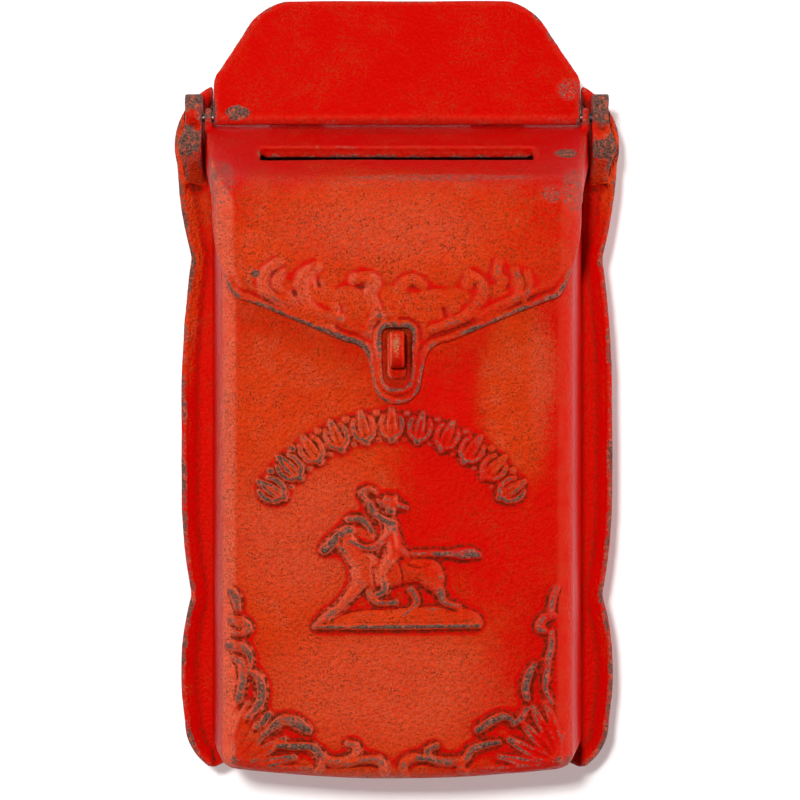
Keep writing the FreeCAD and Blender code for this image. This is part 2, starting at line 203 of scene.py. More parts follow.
# Broad places that hands and weather have thinned.
HANDLED = (
    ((-8, -76, 62), (80, 30, 42)),
    ((-44, -72, -20), (47, 30, 60)),
    ((-44, -72, -78), (36, 30, 42)),
    ((-14, -72, -122), (64, 30, 54)),
    ((52, -72, 6), (16, 20, 50)),
    ((-97, -8, 80), (12, 30, 70)),
    ((97, -8, 110), (12, 30, 30)),
    ((-35, 4, 50), (80, 5.2, 90)),
    ((40, 4, -90), (90, 5.2, 70)),
)
# Painted shade: the gaps above and beside the staple, and beside the raised cover, painted near black where
# they lie in shadow.
GAP_SHADE = (
    ((0, -73.6, 30.8), (7.5, 2.6, 2.6)),
    ((6.6, -73.6, 20), (2, 2.6, 11.5)),
    ((-83.6, -8, 130), (2.4, 12, 8)),
    ((83.6, -8, 130), (2.4, 12, 8)),
)
# Painted shade behind the staple and along the hinge, where shadow falls.
RECESS_SHADE = (
    ((0, -71.6, 18.5), (9, 1.1, 17.5)),
    ((0, -28.5, 122.5), (78, 4.5, 3.8)),
)
# Painted highlight down the front of the staple, tan like worn metal.
STAPLE_GLINT = (((-0.2, -89, 23.5), (1.6, 3, 4.6)),)
WEAR_AND_PAINTED_LIGHT = (("chip", CHIPS), ("scuff", SCUFFS), ("worn", WORN), ("chalky", CHALKY), ("handled", HANDLED),
           ("soot", GAP_SHADE), ("grime", RECESS_SHADE), ("streak", STAPLE_GLINT))


# ---- mesh helpers ---------------------------------------------------------------------------

def new_piece(bm, name):
    """An object at the origin from a bmesh, smooth shaded."""
    mesh = bpy.data.meshes.new(name)
    bm.to_mesh(mesh)
    bm.free()
    mesh.shade_smooth()
    obj = bpy.data.objects.new(name, mesh)
    bpy.context.scene.collection.objects.link(obj)
    return obj


def welded_copy(node, name):
    """A copy of a construction node's mesh with its doubled corners merged."""
    bm = bmesh.new()
    bm.from_mesh(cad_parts[node].data)
    bmesh.ops.remove_doubles(bm, verts=bm.verts, dist=1e-6)
    return new_piece(bm, name)


def apply_modifiers(obj):
    """Bakes an object's modifiers into its mesh."""
    depsgraph = bpy.context.evaluated_depsgraph_get()
    mesh = bpy.data.meshes.new_from_object(obj.evaluated_get(depsgraph))
    old = obj.data
    obj.modifiers.clear()
    obj.data = mesh
    mesh.name = obj.name
    bpy.data.meshes.remove(old)
    mesh.shade_smooth()


def cast_skin(node, name, step, rounding):
    """An even skin over a construction node, with its edges rounded as sand casting leaves them."""
    obj = welded_copy(node, name)
    skin = obj.modifiers.new("Skin", "REMESH")
    skin.mode = "VOXEL"
    skin.voxel_size = step
    apply_modifiers(obj)
    surface = Surface(obj)
    surface.relax(rounding)
    surface.store()
    return obj


class Surface:
    """A mesh's vertices, normals and neighbours as arrays, in metres."""

    def __init__(self, obj):
        self.obj = obj
        mesh = obj.data
        self.count = len(mesh.vertices)
        points = np.empty(self.count * 3, dtype=np.float32)
        mesh.vertices.foreach_get("co", points)
        self.points = points.reshape(-1, 3).astype(np.float64)
        ends = np.empty(len(mesh.edges) * 2, dtype=np.int32)
        mesh.edges.foreach_get("vertices", ends)
        self.ends = ends.reshape(-1, 2)
        self.links = np.bincount(self.ends.ravel(), minlength=self.count).astype(float)[:, None]

    def normals(self):
        normals = np.empty(self.count * 3, dtype=np.float32)
        self.obj.data.vertex_normals.foreach_get("vector", normals)
        return normals.reshape(-1, 3).astype(np.float64)

    def around(self, values):
        """Mean of each vertex's neighbours."""
        first, second = self.ends[:, 0], self.ends[:, 1]
        total = np.empty_like(values)
        for column in range(values.shape[1]):
            total[:, column] = np.bincount(first, values[second, column], self.count)
            total[:, column] += np.bincount(second, values[first, column], self.count)
        return total / self.links

    def relaxed(self, values, times):
        for _ in range(times):
            values = (values + self.around(values)) / 2
        return values

    def relax(self, times):
        self.points = self.relaxed(self.points, times)

    def uneven(self, height, size, seed):
        """Moves the surface in and out by gentle seeded noise."""
        normals = self.normals()
        shift = Vector((seed, seed * 0.7, seed * 1.3))
        waves = np.array([noise.noise(Vector(point) / size + shift) for point in self.points])
        self.points += normals * (waves * height)[:, None]

    def store(self):
        self.obj.data.vertices.foreach_set("co", self.points.astype(np.float32).ravel())
        self.obj.data.update()


def store_wear(obj, crest_reach, crest_depth, hollow_reach, hollow_depth, kept=1.0):
    """Stores how far each point stands out or lies in, where it faces, what wore it, and where shade and
    highlights are painted.
    """
    surface = Surface(obj)
    normals = surface.normals()
    near = surface.relaxed(surface.points, crest_reach)
    far = surface.relaxed(near, hollow_reach - crest_reach)
    crest = ((surface.points - near) * normals).sum(axis=1) / crest_depth
    hollow = ((far - surface.points) * normals).sum(axis=1) / hollow_depth
    turned = np.abs(surface.relaxed(normals, 2)[:, 0])
    # Painted highlight: the salmon band down the upright front corners stands in for the side lamps'
    # reflection, kept weaker on the right.
    corner_depth, right_highlight_share = 0.055, 0.2
    corner = np.clip((turned - 0.10) / 0.12, 0, 1) * np.clip((0.93 - turned) / 0.15, 0, 1)
    corner *= (normals[:, 1] < 0) & (surface.points[:, 1] < -corner_depth)
    corner *= np.where(surface.points[:, 0] > 0, right_highlight_share, 1.0)
    square_on = np.clip((-normals[:, 1] - 0.35) / 0.35, 0, 1)
    fields = [("crest", crest * kept), ("hollow", hollow), ("corner", corner), ("square_on", square_on)]
    fields += [(name, nearness(surface.points, places)) for name, places in WEAR_AND_PAINTED_LIGHT]
    for name, values in fields:
        values = surface.relaxed(np.clip(values, -1, 1)[:, None], 1)[:, 0]
        attribute = obj.data.attributes.new(name, "FLOAT", "POINT")
        attribute.data.foreach_set("value", values.astype(np.float32))


def nearness(points, places):
    """1 in the middle of the nearest place, 0 at its edge and less outside it."""
    best = np.full(len(points), -1.0)
    for centre, radii in places:
        reach = np.linalg.norm((points / MM - np.array(centre)) / np.array(radii), axis=1)
        best = np.maximum(best, 1 - reach)
    return best


# ---- relief ---------------------------------------------------------------------------------

class Relief:
    """Heights of raised work on a face seen from the front, in millimetres."""

    def __init__(self, x_low, x_high, z_low, z_high, step=0.3):
        self.step = step
        self.x_low, self.z_low = x_low, z_low
        xs = np.arange(x_low, x_high + step, step)
        zs = np.arange(z_low, z_high + step, step)
        self.x, self.z = np.meshgrid(xs, zs, indexing="ij")
        self.height = np.zeros_like(self.x)

    def window(self, low_x, high_x, low_z, high_z):
        """The part of the field inside a box."""
        first = [max(0, int((low - start) / self.step))
                 for low, start in ((low_x, self.x_low), (low_z, self.z_low))]
        last = [max(0, int((high - start) / self.step) + 2)
                for high, start in ((high_x, self.x_low), (high_z, self.z_low))]
        return slice(first[0], last[0]), slice(first[1], last[1])

    def spread(self, path):
        """Lowest share of the half width at every point of the field near a path."""
        points = smooth_path(path)
        share_of_width = np.full_like(self.height, np.inf)
        for (ax, az, ar), (bx, bz, br) in zip(points, points[1:]):
            reach = max(ar, br)
            part = self.window(min(ax, bx) - reach, max(ax, bx) + reach,
                               min(az, bz) - reach, max(az, bz) + reach)
            x, z = self.x[part], self.z[part]
            span = max((bx - ax) ** 2 + (bz - az) ** 2, 1e-9)
            along = np.clip(((x - ax) * (bx - ax) + (z - az) * (bz - az)) / span, 0, 1)
            away = np.hypot(x - ax - along * (bx - ax), z - az - along * (bz - az))
            width = np.maximum(ar + along * (br - ar), 0.05)
            share_of_width[part] = np.minimum(share_of_width[part], away / width)
        return share_of_width

    def ridge(self, path, height, fullness=0.6):
        """Raises a rounded ridge along a path of (x, z, half width)."""
        across = self.spread(path)
        raised = height * np.clip(1 - across ** 2, 0, 1) ** fullness
        self.height = np.maximum(self.height, raised)

    def groove(self, path, depth):
        """Cuts a rounded groove along a path."""
        across = self.spread(path)
        self.height -= depth * np.clip(1 - across ** 2, 0, 1)

    def leaf(self, path, height):
        """Raises a broad leaf with a hollow along its middle."""
        self.ridge(path, height, 0.45)
        self.groove([(x, z, r * 0.45) for x, z, r in path], height * 0.45)

    def dot(self, x, z, radius, height, fullness=0.6):
        self.ridge([(x, z, radius), (x + 0.01, z, radius)], height, fullness)

    def soften(self, times):
        """Runs the heights together as thick paint and sand casting do."""
        for _ in range(times):
            for axis in (0, 1):
                rolled = np.roll(self.height, 1, axis) + np.roll(self.height, -1, axis)
                self.height = self.height / 2 + rolled / 4

    def at(self, x, z):
        """Heights at points in millimetres, 0 outside the field."""
        across = (x - self.x_low) / self.step
        up = (z - self.z_low) / self.step
        rows, columns = self.height.shape
        inside = (across >= 0) & (across < rows - 1.001) & (up >= 0) & (up < columns - 1.001)
        across = np.clip(across, 0, rows - 1.001)
        up = np.clip(up, 0, columns - 1.001)
        i, j = across.astype(int), up.astype(int)
        u, v = across - i, up - j
        low = self.height[i, j] * (1 - u) + self.height[i + 1, j] * u
        high = self.height[i, j + 1] * (1 - u) + self.height[i + 1, j + 1] * u
        return np.where(inside, low * (1 - v) + high * v, 0)


def smooth_path(path, spacing=0.8):
    """A path of (x, z, half width) made smooth through its points."""
    if len(path) < 3:
        return [tuple(point) for point in path]
    points = np.array([path[0]] + list(path) + [path[-1]], dtype=float)
    result = []
    for a, b, c, d in zip(points, points[1:], points[2:], points[3:]):
        steps = max(2, int(np.hypot(*(c - b)[:2]) / spacing))
        for t in np.arange(steps) / steps:
            result.append(tuple(0.5 * (2 * b + (c - a) * t + (2 * a - 5 * b + 4 * c - d) * t ** 2
                                       + (3 * b - a - 3 * c + d) * t ** 3)))
    result.append(tuple(points[-1]))
    return result


def arch_band(relief, height):
    """An arched band of upright leaves with beads between them."""
    centre_x, centre_z = -2.2, -72.5
    inner, outer, half_turn, count = 55.5, 68.5, 57.0, 11

    def spot(radius, degrees):
        angle = math.radians(degrees)
        return centre_x + radius * math.sin(angle), centre_z + radius * math.cos(angle)

    for index in range(count):
        turn = half_turn * (2 * index / (count - 1) - 1)
        stem = [spot(inner, turn) + (1.5,), spot(inner + 5, turn) + (2.7,), spot(outer - 4, turn) + (2.2,),
                spot(outer, turn) + (0.7,)]
        relief.leaf(stem, height)
        for side in (-1, 1):
            curl = [spot(inner + 0.6, turn) + (1.4,), spot(inner + 3.0, turn + side * 3.4) + (1.5,),
                    spot(inner + 7.5, turn + side * 4.1) + (1.4,),
                    spot(outer - 2.6, turn + side * 3.0) + (0.9,)]
            relief.ridge(curl, height * 0.8)
        if index < count - 1:
            gap = turn + half_turn / (count - 1)
            relief.dot(*spot(outer - 1.6, gap), 1.5, height * 0.75)
            relief.dot(*spot(inner + 0.4, gap), 1.1, height * 0.6)


def rider(relief, height):
    """A galloping horse and rider over a low mound."""
    # share of the height, fullness, then the ridge as (x, z, half width)
    strokes = (
        (0.62, 0.35, [(-35, -97.6, 1.2), (-20, -95.5, 3.4), (0, -94.5, 4.4), (18, -94, 4.8),
                      (31, -94.8, 4.0), (35, -96.6, 2.2)]),
        (0.95, 0.4, [(-35.5, -98.2, 1.1), (0, -98.0, 1.3), (35, -97.6, 1.2)]),
        (0.85, 0.6, [(-34.5, -97, 1.2), (-30, -93.2, 1.9), (-27, -90.6, 1.4)]),
        # far legs, then barrel, quarters and neck, then near legs
        (0.75, 0.6, [(6, -82, 2.0), (8.6, -87.6, 1.6), (3.0, -93.4, 1.4)]),
        (0.7, 0.6, [(-12, -83, 2.0), (-8, -87.6, 1.6), (-0.6, -87.6, 1.3)]),
        (0.9, 0.5, [(-13.5, -75.6, 6.4), (-5, -74.6, 6.6), (5, -73, 6.4), (12.5, -73.6, 6.2),
                    (17, -77, 3.8)]),
        (1, 0.6, [(-15, -78, 4.0), (-19.5, -83.6, 2.5), (-25.6, -90.4, 1.8), (-30.6, -94.8, 1.8)]),
        (1, 0.6, [(14, -77.5, 4.2), (18.4, -82.6, 2.5), (20.6, -87.4, 1.7), (26.5, -89.4, 1.6)]),
        (1, 0.5, [(-13, -71.6, 5.8), (-17.6, -66.4, 5.2), (-21.2, -60.6, 4.2)]),
        (1.08, 0.6, [(-20.8, -56.8, 3.3), (-26, -60.4, 2.9), (-31.2, -64.8, 2.2)]),
        (0.9, 0.6, [(-24.6, -63.4, 2.0), (-20.6, -66, 2.2)]),
        (0.62, 0.4, [(-19.6, -57.6, 3.6), (-14.6, -58.4, 4.0), (-11.4, -63, 3.6)]),
        (0.95, 0.6, [(-21.0, -51.8, 1.5), (-16.6, -51.4, 1.6), (-12.6, -54.0, 1.5), (-11.0, -57, 1.0)]),
        (1, 0.6, [(7, -66.6, 1.8), (15.5, -66.4, 1.6), (22.5, -66.5, 1.7), (28.5, -66.4, 2.9),
                  (32.6, -66.4, 2.7), (35.6, -67.2, 0.9)]),
        # rider: leg, skirt of the coat, trunk, arms and brimmed hat
        (1.2, 0.6, [(-2.5, -68.6, 3.0), (-6.2, -74.5, 2.3), (-5.2, -81.6, 1.8), (-8.4, -84.2, 1.5)]),
        (1.1, 0.6, [(-1, -63.6, 3.4), (3.6, -67.0, 2.6)]),
        (1.2, 0.5, [(-0.8, -66.6, 3.6), (-1.9, -60, 3.7), (-2.6, -54.6, 3.2)]),
        (1.25, 0.6, [(-1.8, -55, 2.1), (-6.8, -61.6, 1.9), (-13.2, -64, 1.6), (-20.5, -61, 0.9)]),
        (1.15, 0.6, [(-3.8, -52.8, 1.9), (-9.2, -49.4, 1.6), (-12.8, -43.6, 1.3), (-15.6, -40.2, 1.2)]),
        (0.9, 0.6, [(-15.6, -40.0, 1.2), (-12.6, -38.6, 1.3), (-9.8, -39.6, 1.0)]),
        (1.25, 0.6, [(-8.0, -43.6, 1.0), (-5.2, -45.2, 1.6), (-0.4, -45.2, 1.7), (3.8, -46.6, 1.2)]),
        (1.2, 0.6, [(-4.4, -43.2, 2.0), (-1.2, -43.2, 2.0)]),
    )
    for share, fullness, path in strokes:
        relief.ridge(path, height * share, fullness)
    # the horse's forelock and the rider's head, then the folds
    relief.dot(-20.4, -51.8, 1.5, height)
    relief.dot(-2.8, -47.4, 2.6, height * 1.2)
    relief.groove([(-10.4, -72, 0.6), (-9.6, -80, 0.6)], height * 0.4)
    relief.groove([(1.2, -70.6, 0.6), (2.4, -76, 0.7), (2.0, -79.6, 0.5)], height * 0.35)
    relief.groove([(4.5, -71, 0.5), (9.5, -72.6, 0.6), (14.4, -71.4, 0.5)], height * 0.35)
    relief.groove([(-25, -58.8, 0.6), (-24, -63.5, 0.6)], height * 0.3)


def corner_scrolls(relief, height):
    """Acanthus scrolls in the two lower corners and along the bottom edge."""
    left_strokes = [
        [(-71.5, -82, 1.0), (-69.6, -85.5, 1.5), (-68.8, -90, 0.9)],
        [(-71, -95.2, 1.5), (-67.2, -96.2, 1.9), (-64.2, -98.4, 1.3), (-67.4, -101, 1.1),
         (-70, -100.6, 1.0)],
        [(-72, -106, 1.6), (-68, -106.8, 2.0), (-64.6, -109, 1.3), (-63.4, -113.5, 0.9), (-65.2, -119, 0.7)],
        [(-70, -111.5, 1.2), (-67, -114, 1.6), (-66.6, -121, 1.4), (-68.4, -130, 1.0)],
        [(-64, -117.6, 0.8), (-60.2, -119.6, 1.5), (-58.4, -125.4, 1.6), (-59.6, -131.4, 1.6),
         (-64.4, -137, 1.2)],
        [(-56, -136.6, 1.5), (-57.8, -139.2, 1.4), (-60.5, -141.6, 1.0)],
        [(-57.4, -144.2, 1.3), (-53.4, -141, 1.7), (-48.4, -138.6, 2.0), (-43, -139.8, 2.0),
         (-38.6, -142.8, 1.5)],
        [(-52, -149.4, 1.0), (-45, -149.8, 1.4), (-37, -150.2, 1.5), (-33.4, -153.4, 1.6),
         (-29.6, -156, 1.6),
         (-22.6, -156.2, 1.6), (-18.2, -153.4, 1.5), (-17.8, -149.6, 1.4), (-21, -148.8, 1.1)],
        [(-32.4, -155, 1.1), (-32.6, -158.4, 1.2), (-34.6, -161, 0.9)],
        [(-22, -157.6, 0.8), (-16, -155.8, 1.3), (-9.2, -155.6, 1.5), (-5.8, -158, 1.5), (-5.2, -162, 1.2)],
    ]
    right_strokes = [
        [(69.2, -81, 0.9), (67.4, -86, 1.2), (66.6, -92, 1.0)],
        [(67.6, -93, 1.1), (63.6, -94.6, 1.5), (61.8, -98.2, 1.7), (64.4, -100.2, 1.1)],
        [(66.8, -100, 1.0), (66.6, -107, 1.2), (65.2, -113, 1.3)],
        [(65.2, -114.6, 1.0), (64.6, -120, 1.3), (64.2, -125, 1.0), (67, -131, 0.8)],
        [(59.9, -114, 0.8), (57.2, -118.4, 1.4), (55.6, -124.6, 1.5), (56.4, -129, 1.0)],
        [(56.2, -133.6, 0.9), (54, -137.6, 1.3), (50.4, -140, 1.1)],
        [(49.6, -138, 1.0), (45.4, -137.0, 1.5), (39.8, -139.6, 1.6), (35.4, -142.6, 1.4)],
        [(44, -148, 0.9), (38, -149.2, 1.4), (32.4, -151.4, 1.5), (28.8, -155.6, 1.5), (20.8, -156.4, 1.6),
         (14.6, -154.8, 1.5), (13.4, -151.8, 1.4), (17, -149.6, 1.0)],
        [(28.8, -156, 1.2), (27.6, -159.6, 1.3), (30.2, -161, 0.9)],
        [(15, -155.6, 0.9), (8.8, -154.6, 1.5), (3.8, -156.6, 1.6), (2.6, -160.6, 1.4), (4.4, -162.6, 0.9)],
    ]
    for stroke in left_strokes + right_strokes:
        relief.ridge([(x, z, r * 1.35) for x, z, r in stroke], height, 0.5)
    for side in (-1, 1):
        root_x, root_z = side * 70, -157
        fan = [(side * 64.5, -131, 2.4), (side * 58.5, -133, 2.8), (side * 55.0, -140.5, 3.0),
               (side * 49.0, -147.0, 3.0), (side * 45.0, -154.5, 2.8), (side * 37.0, -159.5, 2.2)]
        for tip_x, tip_z, width in fan:
            middle_x = root_x * 0.45 + tip_x * 0.55 + side * 1.8
            middle_z = root_z * 0.45 + tip_z * 0.55 - 1.6
            relief.leaf([(root_x, root_z, 1.6), (middle_x, middle_z, width), (tip_x, tip_z, width * 0.5)],
                        height * 0.62)
        relief.ridge([(side * 71.5, -144, 0.8), (side * 69.4, -152, 0.9), (side * 63, -157.6, 0.9),
                      (side * 54, -160.4, 0.8), (side * 44, -161.2, 0.6)], height * 0.5)


def flap_scrolls(relief, height):
    """Acanthus spray on the lid's flap, above the tongue."""
    strokes = [
        [(-50.6, 60, 0.9), (-56, 55.6, 1.3), (-57.6, 50.6, 1.4), (-55.2, 46, 1.5), (-50.4, 42.4, 1.5),
         (-43.4, 38.8, 1.4), (-36, 35.8, 1.3), (-28, 31.4, 1.0)],
        [(-49.6, 55.6, 0.7), (-52.4, 51, 1.0), (-49.8, 46.6, 1.0), (-44, 42.6, 0.9)],
        [(-34.6, 57.6, 1.3), (-39.8, 54.2, 1.6), (-41.4, 49.4, 1.7), (-39.8, 44, 1.7), (-37.6, 40.2, 1.5),
         (-32.6, 37.6, 1.4), (-24, 35, 1.1)],
        [(-17.6, 52.2, 1.7), (-12.6, 52.6, 1.9), (-10, 49.8, 1.6), (-12.2, 46.6, 1.3)],
        [(-12.6, 46.6, 1.3), (-9.6, 41, 1.4), (-5.6, 34.6, 1.0)],
        [(1.4, 46.6, 1.0), (3.2, 50.6, 1.5), (7.2, 51.8, 1.6), (11.2, 49.4, 1.3)],
        [(31.2, 54.2, 1.2), (35.6, 51.2, 1.5), (37.2, 46.6, 1.6), (35, 41.6, 1.6), (30, 37, 1.5),
         (24.6, 33.8, 1.3),
         (15, 30.6, 1.0)],
        [(44, 60, 0.8), (43.4, 54.6, 1.2), (46.6, 50.8, 1.2)],
        [(50.6, 56, 0.9), (53.2, 51, 1.3), (52.6, 45.2, 1.4), (47.6, 41.6, 1.4), (41.6, 38.2, 1.3),
         (35, 35.2, 1.0)],
        [(56, 55, 0.7), (57, 49, 0.9), (54.6, 43, 0.9)],
    ]
    relief.ridge([(-52, 49, 5), (-38, 43, 7), (-20, 40, 8), (0, 41, 8.5), (20, 40, 8), (38, 43, 7),
                  (50, 48, 5)],
                 height * 0.42, 0.5)
    for stroke in strokes:
        relief.ridge([(x, z, r * 1.4) for x, z, r in stroke], height, 0.5)
    relief.leaf([(-26.4, 40.4, 2.4), (-21.6, 45.4, 3.8), (-15, 42.6, 3.0), (-8.4, 36.2, 1.4)], height * 0.9)
    relief.leaf([(25.4, 39.4, 2.0), (19.6, 43.6, 3.2), (11, 43.4, 3.4), (4.4, 38.2, 1.6)], height * 0.9)
    relief.ridge([(-5.2, 44, 1.6), (-3.4, 39, 1.7), (-2.2, 34.4, 1.2)], height * 0.7)
    relief.ridge([(0.8, 43.6, 1.6), (0.2, 39, 1.6), (-0.6, 34.4, 1.2)], height * 0.7)
    relief.dot(30.8, 50.2, 2.6, height)
    eyes = ((-34.2, 51.4, 1.7), (-44.4, 47, 1.6), (47.4, 50.6, 1.3), (-24.6, 41, 1.6), (20.4, 38.9, 1.7))
    for x, z, radius in eyes:
        relief.groove([(x, z, radius), (x + 0.8, z - 2.0, radius)], height * 0.6)


# ---- front body -----------------------------------------------------------------------------

class BodyPlan:
    """The body's outline seen from above, from its left rear end round to its right one."""

    def __init__(self, shape):
        self.shape = shape
        self.radius = shape.corner_radius
        self.turn = math.atan2(1, shape.side_draft)
        self.stretch = math.hypot(1, shape.side_draft)
        self.corner_x = shape.front_half_width + shape.side_draft * self.radius - self.radius * self.stretch
        self.corner_depth = BODY_DEPTH - self.radius
        self.arc = self.radius * self.turn
        side_depth = self.corner_depth + self.radius * math.cos(self.turn) - PLATE_DEPTH
        self.side = side_depth * self.stretch
        self.half = self.corner_x + self.arc + self.side

    def columns(self):
        """Distances along the outline: fine over the front and its corners, coarser down the sides."""
        fine = self.corner_x + self.arc
        count = 2 * round(fine / self.shape.front_step)
        front = np.linspace(-fine, fine, count + 1)
        reach = np.linspace(0, 1, 22)[1:]
        side = fine + self.side * (0.4 * reach + 0.6 * reach ** 2)
        return np.concatenate([-side[::-1], front, side])

    def at(self, distance, inset=0.0):
        """(x, depth, outward x, outward depth) at distances along the outline, moved inwards."""
        along = np.abs(distance)
        sign = np.sign(distance)
        angle = np.clip((along - self.corner_x) / self.radius, 0, self.turn)
        out_x, out_depth = np.sin(angle), np.cos(angle)
        past = np.clip(along - self.corner_x - self.arc, 0, None)
        flare = past * self.shape.side_draft / self.stretch
        x = np.minimum(along, self.corner_x) + self.radius * out_x + flare
        depth = self.corner_depth + self.radius * out_depth - past / self.stretch
        return sign * (x - inset * out_x), depth - inset * out_depth, sign * out_x, out_depth


def body_top(depth, shape):
    """Height of the body's top edge at a depth."""
    tangent = math.tan(shape.slope)
    sloping = HINGE_Z - shape.seat_drop / math.cos(shape.slope) - (depth - HINGE_DEPTH) * tangent
    arc_depth = BODY_DEPTH - shape.brow_radius
    tangent_depth = arc_depth + shape.brow_radius * math.sin(shape.slope)
    at_tangent = HINGE_Z - shape.seat_drop / math.cos(shape.slope) - (tangent_depth - HINGE_DEPTH) * tangent
    arc_z = at_tangent - shape.brow_radius * math.cos(shape.slope)
    reach = np.clip(depth - arc_depth, 0, shape.brow_radius)
    round_brow = arc_z + np.sqrt(shape.brow_radius ** 2 - reach ** 2)
    return np.minimum(np.where(depth > tangent_depth, round_brow, sloping), BODY_HIGH[2])


def body_rows(plan, shape, ornament_top=0.004):
    """Rows of points down the outside, under the bottom, up the inside and over the top edge."""
    distance = plan.columns()
    rear_x = distance / plan.half * (REAR_HALF_WIDTH - shape.bottom_radius)
    low = BODY_LOW[2]

    def bottom(x):
        return low + shape.bottom_bow * (x / REAR_HALF_WIDTH) ** 2

    def ring(inset, z):
        x, depth, _, _ = plan.at(distance, inset)
        return np.stack([x, -depth, np.broadcast_to(z, x.shape)], axis=1)

    def wall_rows(inset, start_z, lift, shares):
        x, depth, _, _ = plan.at(distance, inset)
        top = body_top(depth, shape) - lift
        return [ring(inset, start_z(x) * (1 - part) + top * part) for part in shares]

    rows = []
    radius = shape.bottom_radius
    lip = 0.001
    x, depth, _, _ = plan.at(distance, 0)
    top = body_top(depth, shape)
    foot = bottom(x) + radius
    upper = np.linspace(0, 1, 34)[:-1]
    for part in upper:
        rows.append(ring(0, (top - lip) * (1 - part) + ornament_top * part))
    count = round((ornament_top - low - radius) / shape.front_step)
    for part in np.linspace(0, 1, count + 1):
        rows.append(ring(0, ornament_top * (1 - part) + foot * part))
    for angle in np.linspace(0, math.pi / 2, 14)[1:]:
        inset = radius * (1 - math.cos(angle))
        x, depth, _, _ = plan.at(distance, inset)
        rows.append(ring(inset, bottom(x) + radius * (1 - math.sin(angle))))
    outside_rows = len(rows)

    def fan(inset, lift, shares):
        edge_x, edge_depth, _, _ = plan.at(distance, inset)
        for part in shares:
            x = edge_x * (1 - part) + rear_x * part
            depth = edge_depth * (1 - part) + PLATE_DEPTH * part
            rows.append(np.stack([x, -depth, bottom(x) + lift], axis=1))

    fan(radius, 0, np.linspace(0, 1, 9)[1:])
    fan(radius, shape.wall, np.linspace(1, 0, 9))
    inner_radius = radius - shape.wall
    for angle in np.linspace(math.pi / 2, 0, 4)[1:]:
        inset = shape.wall + inner_radius * (1 - math.cos(angle))
        x, depth, _, _ = plan.at(distance, inset)
        rows.append(ring(inset, bottom(x) + shape.wall + inner_radius * (1 - math.sin(angle))))
    rows += wall_rows(shape.wall, lambda x: bottom(x) + shape.wall + inner_radius, lip,
                      np.linspace(0, 1, 14)[1:])
    for inset, drop in ((0.925, 0.3), (0.75, 0), (0.5, 0), (0.25, 0), (0.075, 0.3), (0, 1)):
        x, depth, _, _ = plan.at(distance, inset * shape.wall)
        rows.append(ring(inset * shape.wall, body_top(depth, shape) - drop * lip))
    return distance, np.array(rows), outside_rows


class MAILBOX_OT_front_body(bpy.types.Operator):
    """Casts the open box that forms the front, the sides and the bottom, with its raised work"""
    bl_idname = "mailbox.front_body"
    bl_label = "Front body"

    def execute(self, context):
        shape = context.scene.mailbox_shape
        plan = BodyPlan(shape)
        distance, rows, outside_rows = body_rows(plan, shape)
        relief = front_relief(shape)
        _, _, out_x, out_depth = plan.at(distance)
        outward = np.stack([out_x, -out_depth, np.zeros_like(out_x)], axis=1)
        facing = np.clip((out_depth - 0.25) / 0.5, 0, 1)
        for index in range(outside_rows):
            row = rows[index]
            height = relief.at(row[:, 0] / MM, row[:, 2] / MM) * MM
            rows[index] = row + outward * (height * facing)[:, None]
        bm = bmesh.new()
        row_count, column_count = rows.shape[:2]
        bmesh.ops.create_grid(bm, x_segments=column_count - 1, y_segments=row_count - 1, size=1)
        for vert in bm.verts:
            column = round((vert.co.x + 1) / 2 * (column_count - 1))
            row = round((vert.co.y + 1) / 2 * (row_count - 1))
            vert.co = rows[row, column]
        bmesh.ops.remove_doubles(bm, verts=bm.verts, dist=2e-6)
        bmesh.ops.holes_fill(bm, edges=[edge for edge in bm.edges if edge.is_boundary])
        bmesh.ops.recalc_face_normals(bm, faces=bm.faces)
        body = new_piece(bm, "front_body_casting")
        add_bosses(body, shape)
        surface = Surface(body)
        surface.uneven(0.00016, 0.021, 3.1)
        surface.uneven(0.00006, 0.006, 7.7)
        surface.store()
        low, high = BODY_LOW[2] + 0.0045, BODY_HIGH[2] - 0.035
        z = surface.points[:, 2]
        kept = 0.3 + 0.7 * np.clip((z - low) / 0.002, 0, 1) * np.clip((high - z) / 0.004, 0, 1)
        store_wear(body, 10, 0.00033, 38, 0.00030, kept)
        finish_casting(body, "front_body", "box", ENAMEL)
        return {"FINISHED"}


def front_relief(shape):
    """Raised work of the front face."""
    relief = Relief(-80, 80, -166, 2)
    height = shape.ornament / MM
    arch_band(relief, height * 0.9)
    rider(relief, height)
    corner_scrolls(relief, height)
    relief.soften(3)
    return relief


def add_bosses(body, shape):
    """Joins the four screw bosses inside the side walls to the body."""
    radius, length, taper = 0.0065, 0.017, 0.94
    web_size, web_out, web_depth = (0.0085, 0.0165, 0.0098), 0.0043, 0.00865
    below_hinge, above_foot = 0.0305, 0.0184
    boss_x = REAR_HALF_WIDTH - shape.wall - radius
    bm = bmesh.new()
    for side in (-1, 1):
        for z in (HINGE_Z - below_hinge, BODY_LOW[2] + above_foot):
            post = bmesh.ops.create_cone(bm, cap_ends=True, segments=40, radius1=radius,
                                         radius2=radius * taper, depth=length)["verts"]
            bmesh.ops.rotate(bm, verts=post, matrix=Matrix.Rotation(math.pi / 2, 3, "X"))
            bmesh.ops.translate(bm, verts=post, vec=(side * boss_x, -PLATE_DEPTH - length / 2, z))
            web = bmesh.ops.create_cube(bm, size=1)["verts"]
            bmesh.ops.scale(bm, verts=web, vec=web_size)
            bmesh.ops.translate(bm, verts=web, vec=(side * (boss_x + web_out), -PLATE_DEPTH - web_depth, z))
    bosses = new_piece(bm, "bosses")
    union = body.modifiers.new("Bosses", "BOOLEAN")
    union.operation = "UNION"
    union.solver = "MANIFOLD"
    union.object = bosses
    apply_modifiers(body)
    bpy.data.objects.remove(bosses)


